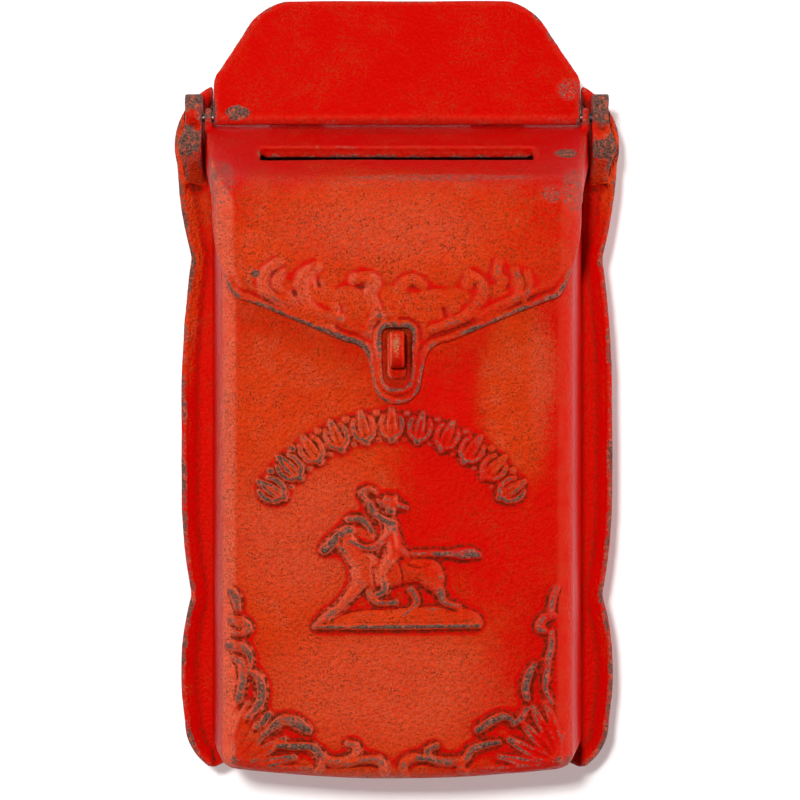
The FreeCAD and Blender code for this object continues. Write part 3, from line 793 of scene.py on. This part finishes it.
def finish_casting(obj, node, body, finish):
    """Puts the paint on a casting and hangs it on its body in place of its construction node."""
    obj.data.materials.clear()
    obj.data.materials.append(bpy.data.materials[finish])
    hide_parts(node)
    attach(obj, body)


# ---- lid, cover, plate and staple -----------------------------------------------------------

class MAILBOX_OT_lid(bpy.types.Operator):
    """Casts the lid with its letter slot, cheeks, scrolled flap and tongue"""
    bl_idname = "mailbox.lid"
    bl_label = "Lid"

    def execute(self, context):
        shape = context.scene.mailbox_shape
        lid = cast_skin("lid", "lid_casting", shape.lid_step, 5)
        surface = Surface(lid)
        normals = surface.normals()
        points = surface.points
        facing = np.clip((-normals[:, 1] - 0.5) / 0.4, 0, 1)
        on_front = (points[:, 1] < -(BODY_DEPTH + 0.0015)) & (facing > 0)
        edge = (points[:, 1] < -(BODY_DEPTH - 0.001)) & (np.abs(normals[:, 1]) < 0.55)
        edge &= points[:, 2] < 0.08
        away = distance_to(points, edge, on_front) / MM
        rim = 0.85 * np.exp(-((away - 1.3) / 1.3) ** 2) - 0.42 * np.exp(-((away - 3.9) / 1.1) ** 2)
        rim += 0.5 * np.exp(-((away - 6.2) / 1.2) ** 2)
        rim *= np.clip((60 - points[:, 2] / MM) / 14, 0, 1)
        relief = Relief(-62, 62, 26, 64)
        flap_scrolls(relief, shape.ornament * 0.72 / MM)
        relief.soften(6)
        height = rim + relief.at(points[:, 0] / MM, points[:, 2] / MM)
        surface.points = points + normals * (height * facing * on_front * MM)[:, None]
        deepen_slot_lip(surface.points, shape)
        surface.store()
        surface.uneven(0.00022, 0.019, 5.3)
        surface.uneven(0.00007, 0.005, 9.1)
        surface.store()
        store_wear(lid, 7, 0.00040, 26, 0.00030, np.where(on_front & (away > 2.6), 0.6, 1.0))
        finish_casting(lid, "lid", "lid", ENAMEL)
        return {"FINISHED"}


def deepen_slot_lip(points, shape):
    """Lets the lip behind the letter slot hang a little below the lid's underside."""
    behind = points[:, 1] + HINGE_DEPTH
    above = points[:, 2] - HINGE_Z
    along = -behind * math.cos(shape.slope) - above * math.sin(shape.slope)
    square = -behind * math.sin(shape.slope) + above * math.cos(shape.slope)
    lip_along, lip_reach, drop = 0.0232, 0.004, 0.0016
    lip_half_length, lid_underside, inside_lid = 0.0605, 0.0058, 0.0095
    near = np.clip(1 - np.abs(along - lip_along) / lip_reach, 0, 1)
    under = np.clip((-lid_underside - square) / 0.0012, 0, 1) * (square > -inside_lid)
    within = np.clip((lip_half_length - np.abs(points[:, 0])) / 0.003, 0, 1)
    points[:, 2] -= drop * near * under * within


def distance_to(points, targets, wanted):
    """Distance from each wanted point to the nearest target point; far elsewhere."""
    chosen = np.nonzero(targets)[0]
    tree = kdtree.KDTree(len(chosen))
    for slot, index in enumerate(chosen):
        tree.insert(points[index], slot)
    tree.balance()
    result = np.full(len(points), 1.0)
    for index in np.nonzero(wanted)[0]:
        result[index] = tree.find(points[index])[2]
    return result


class MAILBOX_OT_slot_cover(bpy.types.Operator):
    """Casts the plain cover over the letter slot"""
    bl_idname = "mailbox.slot_cover"
    bl_label = "Slot cover"

    def execute(self, context):
        shape = context.scene.mailbox_shape
        cover = cast_skin("slot_cover", "slot_cover_casting", shape.cover_step, 5)
        surface = Surface(cover)
        surface.uneven(0.0003, 0.03, 2.3)
        surface.uneven(0.00006, 0.006, 4.9)
        surface.store()
        store_wear(cover, 7, 0.00040, 26, 0.00030)
        finish_casting(cover, "slot_cover", "cover", ENAMEL)
        return {"FINISHED"}


class MAILBOX_OT_back_plate(bpy.types.Operator):
    """Casts the scalloped back plate with its rim, ledge and hinge ears"""
    bl_idname = "mailbox.back_plate"
    bl_label = "Back plate"

    def execute(self, context):
        shape = context.scene.mailbox_shape
        plate = cast_skin("back_plate", "back_plate_casting", shape.plate_step, 2)
        surface = Surface(plate)
        normals = surface.normals()
        points = surface.points
        outside = np.abs(points[:, 0]) > REAR_HALF_WIDTH
        front = outside & (normals[:, 1] < -0.3) & (points[:, 1] > -0.0092)
        edge = (np.abs(normals[:, 1]) < 0.6) & (np.abs(points[:, 0]) > REAR_HALF_WIDTH + 0.003)
        edge &= (points[:, 1] < -0.0010) & (points[:, 1] > -0.0044)
        away = distance_to(points, edge, front)
        climb = np.clip(1 - (away - shape.rim_width) / shape.channel_width, 0, 1)
        rim_height = 0.0026
        wanted = PLATE_DEPTH + rim_height * climb ** 2
        lift = np.where(front & (away > shape.rim_width * 0.8), wanted + points[:, 1], 0)
        surface.points[:, 1] -= np.clip(lift, 0, None)
        surface.points = np.where(front[:, None], surface.relaxed(surface.points, 1), surface.points)
        surface.store()
        shape_ears(surface.points)
        surface.uneven(0.00022, 0.016, 6.4)
        surface.points[:, 1] = np.minimum(surface.points[:, 1], 0)
        surface.store()
        store_wear(plate, 5, 0.00032, 16, 0.0004)
        finish_casting(plate, "back_plate", "box", ENAMEL)
        return {"FINISHED"}


def shape_ears(points):
    """Swells each hinge ear outwards at its foot, draws its top in a little and hollows its neck."""
    foot_z, foot_swell = 113, 2.6
    top_z, top_draw = 128, 0.7
    neck_z, neck_hollow = 122, 2.0
    depth = -points[:, 1]
    z = points[:, 2] / MM
    sign = np.sign(points[:, 0])
    ear = np.clip((depth / MM - 9.5) / 3, 0, 1) * np.clip((np.abs(points[:, 0]) / MM - 85) / 1.5, 0, 1)
    swell = foot_swell * np.exp(-((z - foot_z) / 6.0) ** 2) - top_draw * np.exp(-((z - top_z) / 7.0) ** 2)
    outer = np.clip((np.abs(points[:, 0]) / MM - 88) / 6, 0, 1)
    points[:, 0] += sign * ear * outer * swell * MM
    neck = neck_hollow * np.exp(-((z - neck_z) / 3.5) ** 2)
    points[:, 1] += ear * np.clip((depth / MM - 24) / 6, 0, 1) * neck * MM


class MAILBOX_OT_lock_staple(bpy.types.Operator):
    """Forges the staple that stands through the lid's tongue"""
    bl_idname = "mailbox.lock_staple"
    bl_label = "Lock staple"

    def execute(self, context):
        shape = context.scene.mailbox_shape
        staple = cast_skin("lock_staple", "lock_staple_forging", shape.staple_step, 36)
        surface = Surface(staple)
        surface.uneven(0.00012, 0.004, 1.7)
        surface.store()
        store_wear(staple, 8, 0.0002, 30, 0.0002)
        staple.data.materials.clear()
        staple.data.materials.append(bpy.data.materials[WORN_IRON])
        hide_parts("lock_staple")
        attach(staple, "box")
        return {"FINISHED"}


class MAILBOX_OT_staple_pad(bpy.types.Operator):
    """Casts the small pad on the front wall that the staple stands on"""
    bl_idname = "mailbox.staple_pad"
    bl_label = "Staple pad"

    def execute(self, context):
        size, proud, middle = (0.0088, 0.0030, 0.0208), 0.0009, 0.0056
        corner_radius, edge_radius, grain = 0.003, 0.0012, 0.0004
        bm = bmesh.new()
        bmesh.ops.create_cube(bm, size=1)
        bmesh.ops.scale(bm, verts=bm.verts, vec=size)
        bmesh.ops.translate(bm, verts=bm.verts, vec=(0, -BODY_DEPTH - proud, STAPLE_FOOT + middle))
        upright = [edge for edge in bm.edges if abs(edge.verts[0].co.y - edge.verts[1].co.y) > 0.001]
        bmesh.ops.bevel(bm, geom=upright, offset=corner_radius, segments=6, profile=0.5, affect="EDGES",
                        material=-1)
        front = [face for face in bm.faces if face.normal.y < -0.9]
        rim = [edge for face in front for edge in face.edges]
        bmesh.ops.bevel(bm, geom=rim, offset=edge_radius, segments=4, profile=0.5, affect="EDGES",
                        material=-1)
        bmesh.ops.recalc_face_normals(bm, faces=bm.faces)
        pad = new_piece(bm, "staple_pad")
        skin = pad.modifiers.new("Skin", "REMESH")
        skin.mode = "VOXEL"
        skin.voxel_size = grain
        apply_modifiers(pad)
        surface = Surface(pad)
        surface.relax(5)
        surface.uneven(0.0001, 0.004, 8.2)
        surface.store()
        store_wear(pad, 8, 0.0003, 24, 0.0003)
        pad.data.materials.append(bpy.data.materials[ENAMEL])
        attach(pad, "box")
        return {"FINISHED"}


class MAILBOX_OT_ironmongery(bpy.types.Operator):
    """Gives the rod, screws, nuts and backing plate their dull steel"""
    bl_idname = "mailbox.ironmongery"
    bl_label = "Ironmongery"

    def execute(self, context):
        for name in ("hinge_rod", "staple_backing_plate", "staple_nut_lower", "staple_nut_upper",
                     "body_screw_upper_left", "body_screw_upper_right", "body_screw_lower_left",
                     "body_screw_lower_right"):
            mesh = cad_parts[name].data
            mesh.materials.clear()
            mesh.materials.append(bpy.data.materials[STEEL])
        return {"FINISHED"}


# ---- finishes -------------------------------------------------------------------------------

class Finish:
    """A material and short calls that add its nodes."""

    def __init__(self, name):
        self.material = bpy.data.materials.new(name)
        self.material.use_nodes = True
        self.tree = self.material.node_tree
        self.tree.nodes.clear()
        self.shader = self.tree.nodes.new("ShaderNodeBsdfPrincipled")
        output = self.tree.nodes.new("ShaderNodeOutputMaterial")
        self.tree.links.new(self.shader.outputs[0], output.inputs["Surface"])
        self.place = self.tree.nodes.new("ShaderNodeTexCoord").outputs["Object"]

    def put(self, socket, value):
        if isinstance(value, bpy.types.NodeSocket):
            self.tree.links.new(value, socket)
        elif isinstance(value, (tuple, list)) or hasattr(value, "__len__"):
            socket.default_value = (*value, 1) if len(socket.default_value) == 4 else value
        else:
            socket.default_value = value

    def math(self, operation, first, second=0.0, clamp=False):
        node = self.tree.nodes.new("ShaderNodeMath")
        node.operation = operation
        node.use_clamp = clamp
        self.put(node.inputs[0], first)
        self.put(node.inputs[1], second)
        return node.outputs[0]

    def plus(self, first, second):
        return self.math("ADD", first, second)

    def minus(self, first, second):
        return self.math("SUBTRACT", first, second)

    def times(self, first, second):
        return self.math("MULTIPLY", first, second)

    def ramp(self, value, low, high, to_low=0.0, to_high=1.0):
        """Smooth step of a value from one range to another."""
        node = self.tree.nodes.new("ShaderNodeMapRange")
        node.interpolation_type = "SMOOTHSTEP"
        for socket, number in zip(node.inputs, (value, low, high, to_low, to_high)):
            self.put(socket, number)
        return node.outputs["Result"]

    def noise(self, size, detail=2.0, rough=0.5, stretch=(1, 1, 1), shift=0.0):
        """Noise with features of about a size in metres."""
        mapping = self.tree.nodes.new("ShaderNodeMapping")
        self.put(mapping.inputs["Vector"], self.place)
        mapping.inputs["Location"].default_value = (shift, shift * 1.7, shift * 0.6)
        mapping.inputs["Scale"].default_value = stretch
        node = self.tree.nodes.new("ShaderNodeTexNoise")
        self.put(node.inputs["Vector"], mapping.outputs[0])
        node.inputs["Scale"].default_value = 1 / size
        node.inputs["Detail"].default_value = detail
        node.inputs["Roughness"].default_value = rough
        return node.outputs["Fac"]

    def attribute(self, name):
        node = self.tree.nodes.new("ShaderNodeAttribute")
        node.attribute_name = name
        return node.outputs["Fac"]

    def mix(self, share_of_second, first, second):
        """Colour mix."""
        node = self.tree.nodes.new("ShaderNodeMix")
        node.data_type = "RGBA"
        self.put(node.inputs["Factor"], share_of_second)
        self.put(node.inputs[6], first)
        self.put(node.inputs[7], second)
        return node.outputs[2]

    def blend(self, share_of_second, first, second):
        """Number mix."""
        node = self.tree.nodes.new("ShaderNodeMix")
        self.put(node.inputs["Factor"], share_of_second)
        self.put(node.inputs[2], first)
        self.put(node.inputs[3], second)
        return node.outputs[0]

    def patch(self, name, ragged, spread=1.0):
        """1 inside the ragged edge of a stored place, 0 outside."""
        rough = self.times(self.minus(ragged, 0.5), 1.1 * spread)
        inside = self.minus(self.attribute(name), rough)
        return self.ramp(inside, 1 - 1.05 * spread, 1 - 0.9 * spread)

    def glow(self, name):
        """1 in the middle of a stored place, fading to 0 past its edge."""
        return self.ramp(self.attribute(name), -0.4, 0.5)

    def bump(self, height, distance, strength=1.0, normal=None):
        node = self.tree.nodes.new("ShaderNodeBump")
        node.inputs["Strength"].default_value = strength
        node.inputs["Distance"].default_value = distance
        self.put(node.inputs["Height"], height)
        if normal is not None:
            self.put(node.inputs["Normal"], normal)
        return node.outputs[0]

    def largest(self, values):
        result = values[0]
        for value in values[1:]:
            result = self.math("MAXIMUM", result, value)
        return result


class Enamel(Finish):
    """Red enamel on iron: deep in hollows, thin and specked on flats, rubbed off on crests."""

    def __init__(self, name, paint, wear, cast):
        super().__init__(name)
        self.paint, self.wear, self.cast = paint, wear, cast
        self.crest = self.attribute("crest")
        self.hollow = self.attribute("hollow")
        self.clouds = self.noise(0.026, 3, 0.55, shift=0.21)
        self.patches = self.noise(0.0075, 4, 0.6, shift=0.43)
        self.grain = self.noise(0.0018, 4, 0.6, shift=0.11)
        self.dust = self.noise(0.0007, 2, 0.6, shift=0.77)
        self.thin = self.thinness()
        colour = self.painted()
        bare = self.bare()
        self.put(self.shader.inputs["Base Color"], self.mix(bare, colour, self.metal()))
        gloss = self.blend(self.thin, 0.36, self.ramp(self.grain, 0.3, 0.7, 0.30, 0.44))
        self.put(self.shader.inputs["Roughness"], self.blend(bare, gloss, 0.58))
        sheen = self.times(self.attribute("square_on"), self.blend(self.thin, 0.20, 0.50))
        self.put(self.shader.inputs["Specular IOR Level"], self.plus(sheen, 0.06))
        tint = self.mix(self.thin, (1.0, 0.05, 0.02), (1.0, 0.40, 0.14))
        self.put(self.shader.inputs["Specular Tint"], tint)
        self.put(self.shader.inputs["Normal"], self.uneven_skin(bare))

    def thinness(self):
        """How thin the paint is: near 1 where hands and weather rub it, 0 in hollows."""
        thin = self.plus(self.glow("handled"), self.ramp(self.clouds, 0.3, 0.7, 0.10, -0.22))
        thin = self.minus(thin, self.times(self.ramp(self.hollow, 0.12, 1.0), 1.1))
        thin = self.plus(thin, self.ramp(self.patches, 0.3, 0.7, -0.12, 0.12))
        thin = self.plus(thin, self.ramp(self.dust, 0.3, 0.7, -0.35, 0.35))
        return self.ramp(thin, -0.05, 1.0)

    def rubbed(self):
        """How chalky the paint is on thin flats and broad crests, plus the painted highlight on the upright
        front corners.
        """
        rubbed = self.times(self.ramp(self.patches, 0.42, 0.70, 0, 0.5), self.ramp(self.clouds, 0.60, 0.40))
        rubbed = self.times(rubbed, self.times(self.thin, self.thin))
        chalk = self.times(self.glow("chalky"), self.thin)
        chalk = self.times(chalk, self.ramp(self.dust, 0.30, 0.62, 0.15, 0.8))
        rubbed = self.largest([rubbed, chalk])
        rubbed = self.math("ADD", rubbed, self.ramp(self.hollow, -0.35, -0.95, 0, 0.14), clamp=True)
        rubbed = self.times(rubbed, self.ramp(self.grain, 0.35, 0.62, 0.3, 0.9))
        # Painted highlight: the salmon band on the upright front corners stands in for the side lamps'
        # reflection.
        corner = self.times(self.attribute("corner"), self.ramp(self.patches, 0.25, 0.6, 0.45, 0.95))
        return self.largest([rubbed, corner])

    def painted(self):
        """Colour of the paint with its specks and painted shade in its creases. On castings it adds scuffs
        and painted shade in gaps and recesses, and on the staple a painted highlight.
        """
        paint = self.paint
        colour = self.mix(self.thin, paint.deep_red, paint.orange_red)
        colour = self.mix(self.rubbed(), colour, paint.salmon)
        fine = self.times(self.ramp(self.dust, 0.46, 0.72), self.blend(self.thin, 0.10, 1.0))
        fine = self.times(fine, self.ramp(self.patches, 0.3, 0.65, 0.5, 1.0))
        colour = self.mix(fine, colour, paint.speck_and_shade)
        # Painted shade: concave creases beside the raised work are darkened toward the speck colour.
        crease_shade = self.ramp(self.crest, -0.12, -0.5)
        crease_shade = self.times(crease_shade, self.ramp(self.grain, 0.36, 0.6, 0.2, 0.95))
        colour = self.mix(crease_shade, colour, paint.speck_and_shade)
        if not self.cast:
            # Painted highlight: a tan patch down the front of the staple.
            streak = self.times(self.glow("streak"), self.ramp(self.dust, 0.38, 0.58))
            return self.mix(streak, colour, paint.streak)
        bloom = self.patch("scuff", self.patches, 1.2)
        bloom = self.times(bloom, self.ramp(self.grain, 0.35, 0.65, 0.0, 0.12))
        colour = self.mix(bloom, colour, paint.salmon)
        # Painted shade: the body behind the staple and the strip along the hinge are darkened toward the
        # speck colour.
        colour = self.mix(self.times(self.glow("grime"), 0.4), colour, paint.speck_and_shade)
        # Painted shade: the gaps by the staple and beside the raised cover go near black.
        soot = self.times(self.glow("soot"), 0.96)
        return self.mix(soot, colour, [part * 0.08 for part in paint.speck_and_shade])

    def bare(self):
        """How far the iron shows: on crests, and on castings at chips and scuffs too."""
        stipple = self.plus(self.times(self.minus(self.dust, 0.5), 2.4),
                            self.times(self.minus(self.grain, 0.5), 1.2))
        bare = self.plus(self.times(self.crest, self.wear * 2.0), stipple)
        bare = self.plus(bare, self.ramp(self.patches, 0.35, 0.65, -0.40, 0.3))
        bare = self.plus(bare, self.ramp(self.clouds, 0.42, 0.58, -0.30, 0.12))
        if self.cast:
            bare = self.plus(bare, self.times(self.glow("worn"), 0.5))
        bare = self.times(self.ramp(bare, 0.5, 0.9), self.ramp(self.crest, 0.12, 0.45))
        if not self.cast:
            return bare
        scuffs = self.times(self.patch("scuff", self.grain), self.ramp(self.dust, 0.45, 0.60))
        chips = self.patch("chip", self.blend(0.55, self.patches, self.grain), 1.3)
        return self.largest([bare, scuffs, chips])

    def metal(self):
        """Colour of the bare iron, with some paint left on it."""
        dark = [part * 0.35 for part in self.paint.iron]
        light = [min(1, part * 1.6) for part in self.paint.iron]
        metal = self.mix(self.ramp(self.dust, 0.36, 0.62), dark, light)
        return self.mix(self.ramp(self.grain, 0.52, 0.62, 0, 0.55), metal, self.paint.salmon)

    def uneven_skin(self, bare):
        """Sand-cast dimples and pits, and the small step from paint down to iron."""
        rough = self.blend(self.thin, 0.15, 1.0)
        normal = None
        for size, softness, shift, depth in ((0.0042, 0.5, 0.3, 0.00060), (0.0016, 0.55, 0.9, 0.00270)):
            height = self.minus(self.noise(size, 3, softness, shift=shift), 0.5)
            normal = self.bump(self.times(height, rough), depth, normal=normal)
        paint_thickness = 0.00006
        return self.bump(self.times(bare, -1.0), paint_thickness, normal=normal)


def dull_steel(name, paint):
    """Plain turned steel with a dull, lightly stained skin."""
    finish = Finish(name)
    stain = finish.noise(0.004, 4, 0.6)
    turning = finish.noise(0.0006, 2, 0.5, stretch=(0.15, 1, 1))
    darker = [part * 0.45 for part in paint.steel]
    colour = finish.mix(finish.ramp(stain, 0.4, 0.7), paint.steel, darker)
    finish.put(finish.shader.inputs["Base Color"], colour)
    finish.put(finish.shader.inputs["Roughness"], finish.ramp(stain, 0.3, 0.7, 0.32, 0.55))
    finish.shader.inputs["Metallic"].default_value = 0.9
    finish.put(finish.shader.inputs["Normal"], finish.bump(turning, 0.00003))


class MAILBOX_OT_finishes(bpy.types.Operator):
    """Mixes the enamel, the worn iron and the steel"""
    bl_idname = "mailbox.finishes"
    bl_label = "Finishes"

    def execute(self, context):
        paint = context.scene.mailbox_paint
        Enamel(ENAMEL, paint, wear=0.55, cast=True)
        Enamel(WORN_IRON, paint, wear=0.9, cast=False)
        dull_steel(STEEL, paint)
        return {"FINISHED"}


# ---- stage ----------------------------------------------------------------------------------

WALL_WHITE, WALL_GLOW = 0.97, 0.08
ROOM_LIGHT, ROOM_SEEN = 0.15, 1.0
# Name, place, aim, size, watts, and whether shiny surfaces mirror the lamp.
LAMPS = (
    ("Key", (-0.15, -1.9, 0.19), (0, 0, 0), (0.10, 0.10), 27, True),
    ("Left strip", (-1.3, -0.22, 0.10), (0, -0.05, 0), (0.30, 1.2), 6.0, False),
    ("Right strip", (1.3, -0.22, 0.05), (0, -0.05, 0), (0.30, 1.2), 12.0, False),
    ("Back fill", (0.5, 1.7, -0.1), (0, 0, 0), (1.2, 1.2), 24, True),
    ("Top strip", (-0.40, -0.42, 1.15), (0, -0.05, 0), (0.40, 0.16), 4.2, True),
)


def backdrop_finish():
    """White wall that shows only from its front, and keeps the box's shadow."""
    material = bpy.data.materials.new("White wall")
    material.use_nodes = True
    nodes, links = material.node_tree.nodes, material.node_tree.links
    nodes.clear()
    path = nodes.new("ShaderNodeLightPath")
    facing = nodes.new("ShaderNodeNewGeometry")
    seen = path.outputs["Is Camera Ray"]
    for ray in ("Is Glossy Ray", "Is Transmission Ray"):
        either = nodes.new("ShaderNodeMath")
        either.operation = "MAXIMUM"
        links.new(seen, either.inputs[0])
        links.new(path.outputs[ray], either.inputs[1])
        seen = either.outputs[0]
    front = nodes.new("ShaderNodeMath")
    front.operation = "SUBTRACT"
    front.use_clamp = True
    links.new(seen, front.inputs[0])
    links.new(facing.outputs["Backfacing"], front.inputs[1])
    white = nodes.new("ShaderNodeBsdfDiffuse")
    white.inputs["Color"].default_value = (WALL_WHITE, WALL_WHITE, WALL_WHITE, 1)
    glow = nodes.new("ShaderNodeEmission")
    glow.inputs["Color"].default_value = (1, 1, 1, 1)
    glow.inputs["Strength"].default_value = WALL_GLOW
    both = nodes.new("ShaderNodeAddShader")
    links.new(white.outputs[0], both.inputs[0])
    links.new(glow.outputs[0], both.inputs[1])
    clear = nodes.new("ShaderNodeBsdfTransparent")
    choose = nodes.new("ShaderNodeMixShader")
    links.new(front.outputs[0], choose.inputs[0])
    links.new(clear.outputs[0], choose.inputs[1])
    links.new(both.outputs[0], choose.inputs[2])
    output = nodes.new("ShaderNodeOutputMaterial")
    links.new(choose.outputs[0], output.inputs["Surface"])
    return material


def softbox(name, place, aim, size, watts, mirrored):
    """A rectangular lamp turned towards a point, seen in shiny surfaces or not."""
    lamp = bpy.data.lights.new(name, "AREA")
    lamp.shape = "RECTANGLE"
    lamp.size, lamp.size_y = size
    lamp.energy = watts
    obj = bpy.data.objects.new(name, lamp)
    obj.location = place
    obj.rotation_euler = (Vector(aim) - Vector(place)).to_track_quat("-Z", "Y").to_euler()
    obj.visible_glossy = mirrored
    bpy.context.scene.collection.objects.link(obj)


class MAILBOX_OT_stage(bpy.types.Operator):
    """Sets the camera, the soft lamps and the white wall"""
    bl_idname = "mailbox.stage"
    bl_label = "Stage"

    def execute(self, context):
        stage = context.scene.mailbox_stage
        scene = context.scene
        camera = bpy.data.objects.new("Camera", bpy.data.cameras.new("Camera"))
        camera.location = (stage.camera_side, -stage.camera_distance, 0)
        camera.rotation_euler = (math.pi / 2, 0, 0)
        camera.data.sensor_width = 36
        camera.data.lens = 36 * stage.camera_distance / stage.view_width
        scene.collection.objects.link(camera)
        scene.camera = camera
        bm = bmesh.new()
        bmesh.ops.create_grid(bm, x_segments=1, y_segments=1, size=3)
        bmesh.ops.rotate(bm, verts=bm.verts, matrix=Matrix.Rotation(math.pi / 2, 3, "X"))
        bmesh.ops.translate(bm, verts=bm.verts, vec=(0, stage.backdrop_gap, 0))
        wall = new_piece(bm, "white_wall")
        wall.data.materials.append(backdrop_finish())
        for lamp in LAMPS:
            softbox(*lamp)
        world = bpy.data.worlds.new("Room")
        scene.world = world
        world.use_nodes = True
        nodes, links = world.node_tree.nodes, world.node_tree.links
        background = nodes["Background"]
        path = nodes.new("ShaderNodeLightPath")
        level = nodes.new("ShaderNodeMapRange")
        links.new(path.outputs["Is Camera Ray"], level.inputs["Value"])
        level.inputs["To Min"].default_value = ROOM_LIGHT
        level.inputs["To Max"].default_value = ROOM_SEEN
        background.inputs["Color"].default_value = (1, 1, 1, 1)
        links.new(level.outputs["Result"], background.inputs["Strength"])
        scene.view_settings.view_transform = "Standard"
        return {"FINISHED"}


# ---- panel and registration -----------------------------------------------------------------

OPERATORS = (MAILBOX_OT_finishes, MAILBOX_OT_front_body, MAILBOX_OT_lid, MAILBOX_OT_slot_cover,
             MAILBOX_OT_back_plate, MAILBOX_OT_lock_staple, MAILBOX_OT_staple_pad,
             MAILBOX_OT_ironmongery, MAILBOX_OT_stage)


class MAILBOX_PT_panel(bpy.types.Panel):
    """Lists the letter box's pieces and their settings"""
    bl_idname = "MAILBOX_PT_panel"
    bl_label = "Letter Box"
    bl_space_type = "VIEW_3D"
    bl_region_type = "UI"
    bl_category = "Letter Box"

    def draw(self, context):
        scene = context.scene
        for settings in (scene.mailbox_shape, scene.mailbox_paint, scene.mailbox_stage):
            for name in settings.__annotations__:
                self.layout.prop(settings, name)
        for operator in OPERATORS:
            self.layout.operator(operator.bl_idname)


CLASSES = (BoxShape, BoxPaint, BoxStage) + OPERATORS + (MAILBOX_PT_panel,)


def register():
    for cls in CLASSES:
        bpy.utils.register_class(cls)
    bpy.types.Scene.mailbox_shape = bpy.props.PointerProperty(type=BoxShape)
    bpy.types.Scene.mailbox_paint = bpy.props.PointerProperty(type=BoxPaint)
    bpy.types.Scene.mailbox_stage = bpy.props.PointerProperty(type=BoxStage)


def unregister():
    del bpy.types.Scene.mailbox_stage
    del bpy.types.Scene.mailbox_paint
    del bpy.types.Scene.mailbox_shape
    for cls in reversed(CLASSES):
        bpy.utils.unregister_class(cls)


def main():
    register()
    for operator in OPERATORS:
        group, name = operator.bl_idname.split(".")
        getattr(getattr(bpy.ops, group), name)()


if __name__ == "__main__":
    main()
